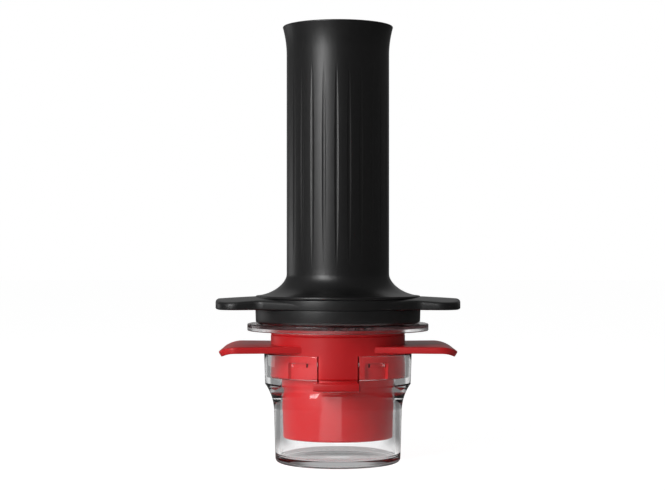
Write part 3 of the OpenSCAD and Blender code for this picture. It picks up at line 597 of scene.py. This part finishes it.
def holder_body():
    """Housing, collar and brim in one: slots let the chamber's lugs in, stops end its turn."""
    lip_bore_r, groove_r, seat_bore_r, cavity_r = 27.8, 30.7, 27.4, 25.5
    lip_z0, seat_z1, seat_z0, funnel_z1 = COLLAR_Z1 - 3, 57.2, 55.05, 25.5
    hole_r, hole_z1, spout_r, spout_z0 = 5.35, 19.9, 7.35, 17.5
    foot_bore_r, foot_bore_z1, foot_taper = 24.95, 23.1, 0.75
    pockets, pocket_half = (33, -33, 147, -147), 11
    pocket_r, pocket_z1 = COLLAR_R - 1.6, COLLAR_Z0 + 8
    slots, slot_half = (50, 170, 290), 18
    stops, stop_half = [front_angle(a - 20) for a in (0, 120, 240)], 3
    stop_z0, stop_z1, stop_depth = 58, 62.1, 2.3
    line_z, line = COLLAR_Z1 - 1.8, 0.35
    foot = outline((foot_bore_r, HOLDER_Z0), (HOUSING_R - foot_taper, HOLDER_Z0, 1),
                   (HOUSING_R, COLLAR_Z0))
    plain_wall = outline((pocket_r, COLLAR_Z0), (COLLAR_R, COLLAR_Z0, 0.6), (COLLAR_R, pocket_z1))
    pocket_wall = [(pocket_r, COLLAR_Z0), (pocket_r, pocket_z1), (COLLAR_R, pocket_z1)]
    line_cut = [(COLLAR_R, line_z - line), (COLLAR_R - line, line_z), (COLLAR_R, line_z + line)]
    brim_bore_r = COLLAR_R - 2.2
    rim = outline(line_cut[-1], (COLLAR_R, BRIM_Z1, 0.6), (brim_bore_r, BRIM_Z1, 0.4),
                  (brim_bore_r, COLLAR_Z1), (groove_r + PLAY, COLLAR_Z1))[1:]
    lip = [(lip_bore_r, COLLAR_Z1), (lip_bore_r, lip_z0)]
    slot = [(groove_r + PLAY, lip_z0)]
    inside = [(groove_r, lip_z0), (groove_r, stop_z1), (groove_r, stop_z0), (groove_r, seat_z1),
              (seat_bore_r, seat_z1), (seat_bore_r, seat_z0), (cavity_r, seat_z0),
              (cavity_r, funnel_z1), (hole_r, hole_z1), (hole_r, spout_z0), (spout_r, spout_z0),
              (foot_bore_r, foot_bore_z1)]

    def outline_at(a):
        wall = pocket_wall if near(front_angle(a), pockets, pocket_half) else plain_wall
        mouth = slot if near(a, slots, slot_half) else lip
        return foot + wall + line_cut + rim + mouth + inside

    bm = bmesh.new()
    spin_by_column(bm, outline_at)
    push_wall(bm, groove_r, stop_z0, stop_z1, stops, stop_half, -stop_depth)
    piece("holder_body", bm, RED_PLASTIC, "holder", "red_plastic", "filter_holder")


def bend_tip(bm, flat_x, radius, top_z):
    """Bends a flat plate down along an arc past flat_x, keeping its plan."""
    for v in bm.verts:
        past = abs(v.co.x) / MM - flat_x
        if past <= 0:
            continue
        depth = top_z - v.co.z / MM
        turn = math.asin(min(past / radius, 1))
        side = math.copysign(1, v.co.x)
        v.co.x = side * (flat_x + (radius - depth) * math.sin(turn)) * MM
        v.co.z = (top_z - radius + (radius - depth) * math.cos(turn)) * MM


def inward(points):
    """Unit normals into the shape along an open, anticlockwise run of (x, y) points."""
    normals = []
    for i, here in enumerate(points):
        back = here - points[max(i - 1, 0)]
        on = points[min(i + 1, len(points) - 1)] - here
        along = back.normalized() + on.normalized()
        normals.append(Vector((-along.y, along.x)).normalized())
    return normals


def rounded_plate(root, rim, z0, z1, low_r, high_r, grid, steps=5):
    """Solid plate over a hidden root and a rim of (x, y) points, with rounded edges."""
    bm = bmesh.new()
    plan = [Vector(p) for p in root + rim]
    normals = [Vector((0, 0))] * len(root) + inward(plan[len(root):])
    turns = [math.radians(90 * k / steps) for k in range(steps + 1)]
    profile = [(low_r * (1 - math.sin(t)), z0 + low_r * (1 - math.cos(t))) for t in turns]
    profile += [(high_r * (1 - math.cos(t)), z1 - high_r * (1 - math.sin(t))) for t in turns]
    loops = []
    for inset, z in profile:
        places = [p + n * inset for p, n in zip(plan, normals)]
        loops.append([bm.verts.new(Vector((*p, z)) * MM) for p in places])
    for low, high in zip(loops, loops[1:]):
        for i in range(len(plan)):
            bm.faces.new((low[i - 1], low[i], high[i], high[i - 1]))
    bm.faces.new(reversed(loops[0]))
    bm.faces.new(loops[-1])
    for z in (z0, z1):
        cut_cap(bm, z, grid)
    return bm


def cut_cap(bm, z, grid):
    """Cuts the flat cap at a height into a square grid, so that it can be shaped."""
    for axis in (0, 1):
        reached = [v.co[axis] / MM for v in bm.verts if on_level(v, z)]
        low, high = min(reached), max(reached)
        count = round((high - low) / grid)
        for i in range(1, count):
            at = [0.0, 0.0, 0.0]
            way = [0.0, 0.0, 0.0]
            at[axis] = (low + (high - low) * i / count) * MM
            way[axis] = 1.0
            cap = [g for g in (*bm.verts, *bm.edges, *bm.faces) if on_level(g, z)]
            bmesh.ops.bisect_plane(bm, geom=cap, dist=ON_PLANE, plane_co=at, plane_no=way)


def on_level(item, z):
    """True if a vertex, edge or face lies wholly at a height in millimetres."""
    verts = [item] if isinstance(item, bmesh.types.BMVert) else item.verts
    return all(abs(v.co.z - z * MM) < ON_PLANE for v in verts)


def join_mesh(bm, part):
    """Moves a scratch bmesh's faces into another bmesh."""
    mesh = bpy.data.meshes.new("part")
    part.to_mesh(mesh)
    part.free()
    bm.from_mesh(mesh)
    bpy.data.meshes.remove(mesh)


def wing(side):
    """One finger wing: it widens to a tip with rounded corners, which droops."""
    slope, corner_r, root_depth = 8.0, 9.0, 1.0
    droop_r, droop = 16.0, 31.5
    root_steps, corner_steps = 20, 16
    flat_x = WING_X - droop_r * math.sin(math.radians(droop))
    rise = math.tan(math.radians(slope))
    leave_x = math.sqrt(COLLAR_R ** 2 - HALF_DEPTH ** 2)
    mid_y = HALF_DEPTH - leave_x * rise
    corner_x = WING_X - corner_r
    corner_y = mid_y + corner_x * rise - corner_r / math.cos(math.radians(slope))
    root_x = leave_x - root_depth
    root_y = mid_y + root_x * rise
    turn = math.degrees(math.atan2(root_y, root_x))
    root = arc(0, 0, math.hypot(root_x, root_y), turn, -turn, root_steps)
    rim = [(leave_x, -HALF_DEPTH)]
    rim += arc(corner_x, -corner_y, corner_r, -90 - slope, 0, corner_steps)
    rim += arc(corner_x, corner_y, corner_r, 0, 90 + slope, corner_steps)
    rim += [(leave_x, HALF_DEPTH)]
    bm = rounded_plate(root, rim, WING_Z1 - WING_T, WING_Z1, low_r=0.5, high_r=0.7, grid=2.0)
    bend_tip(bm, flat_x, droop_r, WING_Z1)
    for v in bm.verts:
        v.co.x *= side
    name = "wing_east" if side > 0 else "wing_west"
    piece(name, bm, RED_PLASTIC, "holder", "red_plastic", "filter_holder")


def cut_ends(part, low, high, radius):
    """Cuts a curved bar square at two places along X and rounds its ends."""
    sharp, on_cut = 60, 1e-6
    for at, way in ((low, -1), (high, 1)):
        cut = [*part.verts, *part.edges, *part.faces]
        bmesh.ops.bisect_plane(
            part, geom=cut, dist=ON_PLANE, plane_co=(at * MM, 0, 0), plane_no=(way, 0, 0),
            clear_outer=True)
        rim = [e for e in part.edges if e.is_boundary]
        bmesh.ops.holes_fill(part, edges=rim, sides=0)
    bmesh.ops.recalc_face_normals(part, faces=part.faces)
    ends = [e for e in crease_edges(part, sharp)
            if any(all(abs(v.co.x - at * MM) < on_cut for v in e.verts) for at in (low, high))]
    soften(part, ends, radius, 4)


def latch(side):
    """Tab below the collar and the bar that it carries in front of the cup's wall."""
    bar_r, bar_t, tab_half, overhang = CUP_RIM_R + PLAY, 1.75, 9.95, 1.9
    neck_t, tab_inset, tab_root, sweep = 0.8, 0.2, 1, 44.0
    bar = outline((bar_r, BAR_Z0, 0.3), (bar_r + bar_t, BAR_Z0, 0.8), (bar_r + bar_t, BAR_Z1, 0.8),
                  (bar_r, BAR_Z1, 0.3), segments=5)
    neck_r, tab_r = WEB_R + neck_t, bar_r + bar_t / 2
    tab = outline((WEB_R, BAR_Z0, 0.3), (tab_r, BAR_Z0 + tab_inset),
                  (tab_r, BAR_Z1 - tab_inset), (neck_r, BAR_Z1 - tab_inset, 0.3),
                  (neck_r, COLLAR_Z0 + tab_root), (WEB_R, COLLAR_Z0 + tab_root), segments=3)
    bm = bmesh.new()
    for points, low, radius in ((tab, -tab_half, 0.3), (bar, -tab_half - overhang, 0.7)):
        part = bmesh.new()
        spin(part, points, -90 - sweep / 2, sweep)
        cut_ends(part, low, tab_half, radius)
        join_mesh(bm, part)
    if side == "back":
        bmesh.ops.rotate(bm, verts=bm.verts, matrix=Matrix.Rotation(math.pi, 3, "Z"))
    piece("latch_" + side, bm, RED_PLASTIC, "holder", "red_plastic", "filter_holder")


# ---------------------------------------------------------------- plunger

TUBE_R = 25.6
FLUTES = 26
FLUTE_Z0 = SLEEVE_Z0 + 15.4
FLUTE_Z1 = SLEEVE_Z1 - 19.7
FLUTE_W = 2.1
FLUTE_D = 0.27
FLUTE_TURN = -1.7       # degrees from the front to the nearest flute
FLUTE_STATIONS = (-1.0, -0.8, -0.42, 0.0, 0.42, 0.8, 1.0)   # columns across a flute
LAND_STATIONS = (0.0, 0.25, 0.5, 0.75, 1.0)                 # columns between two flutes


def flute_shape(z):
    """Half width and depth of a flute at a height."""
    least_half = 0.16
    t = (2 * z - FLUTE_Z0 - FLUTE_Z1) / (FLUTE_Z1 - FLUTE_Z0)
    open_share = max(0.0, 1 - t * t)
    return max(least_half, FLUTE_W / 2 * math.sqrt(open_share)), FLUTE_D * open_share


def cut_flutes(bm):
    """Gathers the sleeve's columns at the flutes and sinks those that lie in one."""
    per_flute = len(FLUTE_STATIONS) + len(LAND_STATIONS)
    pitch = 360 / FLUTES
    edge_gap, skin = 0.14, 1
    gap = math.degrees(edge_gap / TUBE_R)
    for v in bm.verts:
        r = math.hypot(v.co.x, v.co.y) / MM
        column = round(math.degrees(math.atan2(v.co.y, v.co.x)) / (pitch / per_flute))
        flute, station = divmod(column, per_flute)
        half, depth = flute_shape(v.co.z / MM)
        half_turn = math.degrees(half / TUBE_R)
        sunk = 0.0
        if station < len(FLUTE_STATIONS):
            share = FLUTE_STATIONS[station]
            offset = share * half_turn
            sunk = depth * (1 - share * share)
        else:
            share = LAND_STATIONS[station - len(FLUTE_STATIONS)]
            offset = half_turn + gap + share * (pitch - 2 * half_turn - 2 * gap)
        if r < TUBE_R - skin or not FLUTE_Z0 <= v.co.z / MM <= FLUTE_Z1:
            sunk = 0.0
        angle = math.radians(flute * pitch + offset + FLUTE_TURN - 90)
        v.co.x, v.co.y = (r - sunk) * math.cos(angle) * MM, (r - sunk) * math.sin(angle) * MM


def flare_point(t):
    """Point of the sleeve's foot, from the tube at t = 0 to the lip at t = 1."""
    power, height = 1.75, 10.6
    out = 1 - (1 - t ** power) ** (1 / power)
    return TUBE_R + (LIP_R - TUBE_R) * out, SLEEVE_Z0 + LIP_T + height * (1 - t)


def top_flare(n):
    """Points of the widening at the sleeve's top."""
    height, gain = 14.4, 2.05
    radius = (height ** 2 + gain ** 2) / (2 * gain)
    rises = [height * i / n for i in range(n + 1)]
    return [(TUBE_R + radius - math.sqrt(radius ** 2 - t * t), SLEEVE_Z1 - height + t)
            for t in rises]


def grip_sleeve():
    """Fluted tube that widens at its foot and top, with a seat for the palm cap."""
    bore_r, guide_r, guide_top = TUBE_R - 3, 23.25, 98.7
    cap_seat = CAP_Z1 - CAP_T - SEAT
    flare_rows, tube_rows, crown_rows = 34, 64, 16
    lip = outline((guide_r, SLEEVE_Z0), (LIP_R, SLEEVE_Z0, 0.5), (LIP_R, SLEEVE_Z0 + LIP_T, 0.5),
                  (LIP_R - 3, SLEEVE_Z0 + 1.6), segments=4)[:-1]
    flare = [flare_point(1 - (i / flare_rows) ** 2) for i in range(1, flare_rows + 1)]
    turns = [math.pi * i / tube_rows for i in range(tube_rows + 1)]
    tube = [(TUBE_R, FLUTE_Z0 + (FLUTE_Z1 - FLUTE_Z0) * (1 - math.cos(t)) / 2) for t in turns]
    crown = top_flare(crown_rows)
    rim = outline(crown[-2], (crown[-1][0], SLEEVE_Z1, 0.45), (CAP_R + FIT, SLEEVE_Z1, 0.35),
                  (CAP_R + FIT, cap_seat), (bore_r, cap_seat), (bore_r, guide_top),
                  (guide_r, guide_top), segments=4)
    bm = bmesh.new()
    columns = FLUTES * (len(FLUTE_STATIONS) + len(LAND_STATIONS))
    spin(bm, lip + flare + tube + crown[1:-2] + rim, column=360 / columns)
    cut_flutes(bm)
    piece("grip_sleeve_shell", bm, GRIP_PLASTIC, "plunger", "black_plastic", "grip_sleeve")


def ear_rim():
    """Plan of one palm ear's rim, from the disc round its bowed tip and back."""
    slope, neck_r, corner_r, tip_r = 12.0, 8.0, 9.0, 100.0
    tip_steps, corner_steps, neck_steps = 8, 14, 10
    leave = math.radians(EAR_LEAVE)
    corner_y = HALF_DEPTH - corner_r
    tip_x = EAR_X - tip_r
    tip_turn = math.asin(corner_y / (tip_r - corner_r))
    corner = Vector((tip_x + (tip_r - corner_r) * math.cos(tip_turn), corner_y))
    disc_n = Vector((math.sin(leave), math.cos(leave)))
    ear_n = Vector((-math.sin(math.radians(slope)), math.cos(math.radians(slope))))
    disc_k = LIP_R + neck_r
    ear_k = ear_n.dot(corner) + corner_r + neck_r
    det = disc_n.x * ear_n.y - disc_n.y * ear_n.x
    neck = Vector((disc_k * ear_n.y - ear_k * disc_n.y, ear_k * disc_n.x - disc_k * ear_n.x)) / det
    half_turn = math.degrees(tip_turn)
    upper = arc(tip_x, 0, tip_r, 0, half_turn, tip_steps)
    upper += arc(corner.x, corner.y, corner_r, half_turn, 90 + slope, corner_steps)[1:]
    upper += arc(neck.x, neck.y, neck_r, 270 + slope, 270 - EAR_LEAVE, neck_steps)
    upper += [tuple(disc_n * LIP_R)]
    lower = [(x, -y) for x, y in reversed(upper[1:])]
    return lower + upper


def crown_ear(bm):
    """Crowns an ear's top, and keeps what stands above the disc clear of the sleeve's lip."""
    crest, crest_fall, crown_fall = 2.05, 2.1, 1.8
    middle = (PLATE_Z0 + PLATE_Z1) / 2
    for v in bm.verts:
        x, y, z = v.co / MM
        if z < middle:
            continue
        z += crest - crest_fall * (x / EAR_X) ** 2 - crown_fall * (y / HALF_DEPTH) ** 2
        r = math.hypot(x, y)
        if z > PLATE_Z1 - SEAT and r < LIP_R + FIT:
            x, y = x * (LIP_R + FIT) / r, y * (LIP_R + FIT) / r
        v.co = Vector((x, y, z)) * MM


def wing_plate():
    """Disc with a crowned palm ear on each side."""
    root_depth, root_steps = 1.0, 24
    bm = bmesh.new()
    root = arc(0, 0, LIP_R - root_depth, 90 - EAR_LEAVE, EAR_LEAVE - 90, root_steps)
    for side in (-1, 1):
        ear = rounded_plate(
            root, ear_rim(), PLATE_Z0, PLATE_Z1, low_r=0.7, high_r=1.5, grid=2.5)
        crown_ear(ear)
        for v in ear.verts:
            v.co.x *= side
        join_mesh(bm, ear)
    spin(bm, outline((PLATE_BORE_R, PLATE_Z0), (LIP_R, PLATE_Z0, 0.3), (LIP_R, PLATE_Z1, 0.5),
                     (PLATE_BORE_R, PLATE_Z1), segments=5))
    piece("palm_ears", bm, BLACK_PLASTIC, "plunger", "black_plastic", "wing_plate")


def base_skirt():
    """Ring under the wing plate, with a web across its top round the bore."""
    wall, web_t, edge = 2.6, 2.95, 1.2
    web_z0 = SKIRT_Z1 - web_t
    bm = bmesh.new()
    spin(bm, outline(
        (SKIRT_R - wall, SKIRT_Z0, 0.4), (LIP_R, SKIRT_Z0, edge), (SKIRT_R, SKIRT_Z1, 0.3),
        (PLATE_BORE_R, SKIRT_Z1), (PLATE_BORE_R, web_z0), (SKIRT_R - wall, web_z0, 1.0),
        segments=6))
    piece("skirt_shell", bm, BLACK_PLASTIC, "plunger", "black_plastic", "base_skirt")


def palm_cap():
    """Cap with a recess for the pad, a well for the rod's screw and a boss for the rod."""
    cap_z0, seat_z, well_z = CAP_Z1 - CAP_T, CAP_Z1 - PAD_RECESS, CAP_Z1 - 3.4
    rod_z1, boss_z0 = cap_z0 - 2.55, cap_z0 - 12.5
    rod_r, boss_r, well_r, hole_r = 6.25, 9.5, 3.05, 1.65
    bm = bmesh.new()
    spin(bm, outline(
        (rod_r, boss_z0, 0.3), (boss_r, boss_z0, 0.5), (boss_r, cap_z0, 1.0),
        (CAP_R, cap_z0, 0.5), (CAP_R, CAP_Z1, 0.6), (PAD_R + FIT, CAP_Z1, 0.3),
        (PAD_R + FIT, seat_z), (well_r, seat_z), (well_r, well_z), (hole_r, well_z),
        (hole_r, rod_z1), (rod_r, rod_z1), segments=4))
    piece("palm_cap_shell", bm, BLACK_PLASTIC, "plunger", "black_plastic", "palm_cap")


def palm_pad():
    """Slightly domed pad in the cap's recess."""
    dome, z0 = 0.5, CAP_Z1 - PAD_RECESS + SEAT
    edge_z = PAD_Z1 - dome
    rows = 16
    shares = [1 - i / rows for i in range(1, rows + 1)]
    top = [(PAD_R * share, edge_z + dome * (1 - share ** 2)) for share in shares]
    bm = bmesh.new()
    spin(bm, outline((0, z0), (PAD_R, z0), (PAD_R, edge_z, 0.45), top[0], segments=4)[:-1] + top)
    piece("palm_pad_skin", bm, BLACK_RUBBER, "plunger", "black_rubber", "palm_pad")


espresso_cup()
holder_body()
for end in (-1, 1):
    wing(end)
for end in ("front", "back"):
    latch(end)
grip_sleeve()
wing_plate()
base_skirt()
palm_cap()
palm_pad()


# ---------------------------------------------------------------- studio

def world():
    """White to the camera, and to other rays a soft fill, dim sides and a card behind."""
    fill = 0.155
    mirrored_dim, mirrored_left, mirrored_card = 0.085, 0.06, 0.36
    through_dim, through_card, through_ahead = 0.2, 0.35, 1.5
    made = bpy.data.worlds.new("Studio")
    bpy.context.scene.world = made
    made.use_nodes = True
    made.node_tree.nodes.clear()
    kit = Nodes(made.node_tree)
    way = kit.add("ShaderNodeTexCoord").outputs["Generated"]
    seen = use_group(kit, BACKDROP, Direction=way)
    path = kit.add("ShaderNodeLightPath").outputs
    mirrored = kit.math("ADD", kit.math("MULTIPLY", seen["Left"], mirrored_left), mirrored_dim)
    mirrored = kit.math("MAXIMUM", mirrored, kit.math("MULTIPLY", seen["Behind"], mirrored_card))
    through = kit.math("ADD", kit.math("MULTIPLY", seen["Behind"], through_card), through_dim)
    through = kit.math("ADD", through, kit.math("MULTIPLY", seen["Ahead"], through_ahead))
    level = kit.math("ADD", fill, kit.math("MULTIPLY", path["Is Glossy Ray"],
                                           kit.math("SUBTRACT", mirrored, fill)))
    level = kit.math("ADD", level, kit.math("MULTIPLY", path["Is Transmission Ray"],
                                            kit.math("SUBTRACT", through, level)))
    level = kit.math("MAXIMUM", level, path["Is Camera Ray"])
    shade = kit.add("ShaderNodeBackground", {"Color": WHITE, "Strength": level})
    kit.add("ShaderNodeOutputWorld", {"Surface": shade.outputs[0]})


def floor():
    """Pale floor that the camera sees white, with the object's soft shadow on it.

    What clear plastic shows of it carries painted shade: a painted shadow round the
    foot and painted grey beside the object. It stays bright under the cup's
    middle, behind the object and ahead of it.
    """
    drop = 0.02
    glow, dull_level = 0.95, 0.26
    # Painted shadow round the cup's foot, seen through clear plastic: its oval and how bright it
    # is.
    foot_oval, foot_shadow_share = (1.8, 1.0, 1.0), 0.4
    # A lighter middle in that painted shadow, and painted grey beside the object that is lifted
    # ahead of it.
    middle_share, side_grey_loss, ahead_gain = 0.9, 0.78, 1.9
    bm = bmesh.new()
    bmesh.ops.create_circle(bm, cap_ends=True, radius=6.0, segments=96)
    mesh = bpy.data.meshes.new("floor")
    bm.to_mesh(mesh)
    bm.free()
    made = bpy.data.objects.new("floor", mesh)
    made.location.z = -drop * MM
    bpy.context.scene.collection.objects.link(made)
    look, kit = new_material("Pale floor")
    at = kit.place()
    dark, light = rgb(0.74, 0.74, 0.735), rgb(0.78, 0.78, 0.775)
    mottle = kit.mix_colour(kit.noise(at, 40.0, 3.0), dark, light)
    seen = use_group(kit, BACKDROP, Direction=at)
    away = kit.add("ShaderNodeVectorMath", {0: at}, operation="LENGTH").outputs["Value"]
    # Painted shadow round the foot, with a lighter middle under the cup.
    oval = kit.add("ShaderNodeVectorMath", {0: at, 1: foot_oval}, operation="MULTIPLY")
    covered = kit.add("ShaderNodeVectorMath", {0: oval.outputs[0]}, operation="LENGTH")
    open_floor = kit.fade(covered.outputs["Value"], 0.05, 0.058, foot_shadow_share, 1.0)
    middle = kit.fade(away, 0.005, 0.009, middle_share, 0.0)
    open_floor = kit.math("MAXIMUM", open_floor, middle)
    # Painted grey beside the object, lifted behind it and ahead of it.
    beside = kit.math("MULTIPLY", kit.fade(away, 0.06, 0.13), side_grey_loss)
    ahead = kit.math("MULTIPLY", seen["Ahead"], ahead_gain)
    lit_way = kit.math("MAXIMUM", seen["Behind"], ahead)
    beside = kit.math("MULTIPLY", beside, kit.math("SUBTRACT", 1.0, lit_way))
    through = kit.math("MULTIPLY", open_floor, kit.math("SUBTRACT", 1.0, beside))
    path = kit.add("ShaderNodeLightPath").outputs
    # Only rays through clear plastic see this painted shade. The camera sees plain white.
    through = kit.math("MULTIPLY", path["Is Transmission Ray"], through)
    lift = kit.math("MULTIPLY", kit.math("MAXIMUM", path["Is Camera Ray"], through), glow)
    shown = kit.math("MAXIMUM", path["Is Camera Ray"], kit.math(
        "MAXIMUM", path["Is Transmission Ray"], path["Is Glossy Ray"]))
    lit = kit.add("ShaderNodeBsdfDiffuse", {"Color": mottle})
    dull = kit.add("ShaderNodeBsdfDiffuse", {"Color": grey(dull_level)})
    body = kit.add("ShaderNodeMixShader", {0: shown, 1: lit.outputs[0], 2: dull.outputs[0]})
    lamp = kit.add("ShaderNodeEmission", {"Color": WHITE, "Strength": lift})
    both = kit.add("ShaderNodeAddShader", {0: body.outputs[0], 1: lamp.outputs[0]})
    kit.add("ShaderNodeOutputMaterial", {"Surface": both.outputs[0]})
    mesh.materials.append(look)


def softbox(name, azimuth, distance, height, size, power, target_z, rays):
    """Soft lamp at an azimuth from the camera's side, left negative, seen by some rays."""
    turn = math.radians(azimuth)
    lamp = bpy.data.lights.new(name, "AREA")
    lamp.shape = "RECTANGLE"
    lamp.size, lamp.size_y = size
    lamp.energy = power
    made = bpy.data.objects.new(name, lamp)
    made.location = (distance * math.sin(turn), -distance * math.cos(turn), height)
    aim = Vector((0, 0, target_z)) - made.location
    made.rotation_euler = aim.to_track_quat("-Z", "Y").to_euler()
    made.visible_camera = False
    made.visible_glossy = "glossy" in rays
    made.visible_transmission = "transmission" in rays
    made.visible_diffuse = "diffuse" in rays
    bpy.context.scene.collection.objects.link(made)


def camera():
    """Level camera in front, a little below the middle of the object."""
    lens = bpy.data.cameras.new("camera")
    lens.lens = 85
    lens.sensor_width = 36
    lens.shift_y = 0.0165
    made = bpy.data.objects.new("camera", lens)
    made.location = (-0.0027, -0.785, 0.1026)
    made.rotation_euler = (math.radians(90), 0, 0)
    bpy.context.scene.collection.objects.link(made)
    bpy.context.scene.camera = made


LAMPS = (
    # name, azimuth, distance, height, (width, height), watts, height aimed at, rays
    ("key", -35, 1.0, 0.58, (0.32, 0.84), 6.1, 0.13, ("diffuse", "glossy")),
    ("side", -75, 1.0, 0.28, (0.5, 0.5), 2.2, 0.05, ("diffuse",)),
    ("rim", -126, 0.8, 0.08, (0.35, 0.2), 0.2, 0.06, ("diffuse", "glossy")),
    ("glint", -48, 1.0, 0.75, (0.32, 0.6), 7.0, 0.05, ("transmission",)),
)

world()
floor()
for settings in LAMPS:
    softbox(*settings)
camera()
bpy.context.scene.view_settings.view_transform = "Standard"
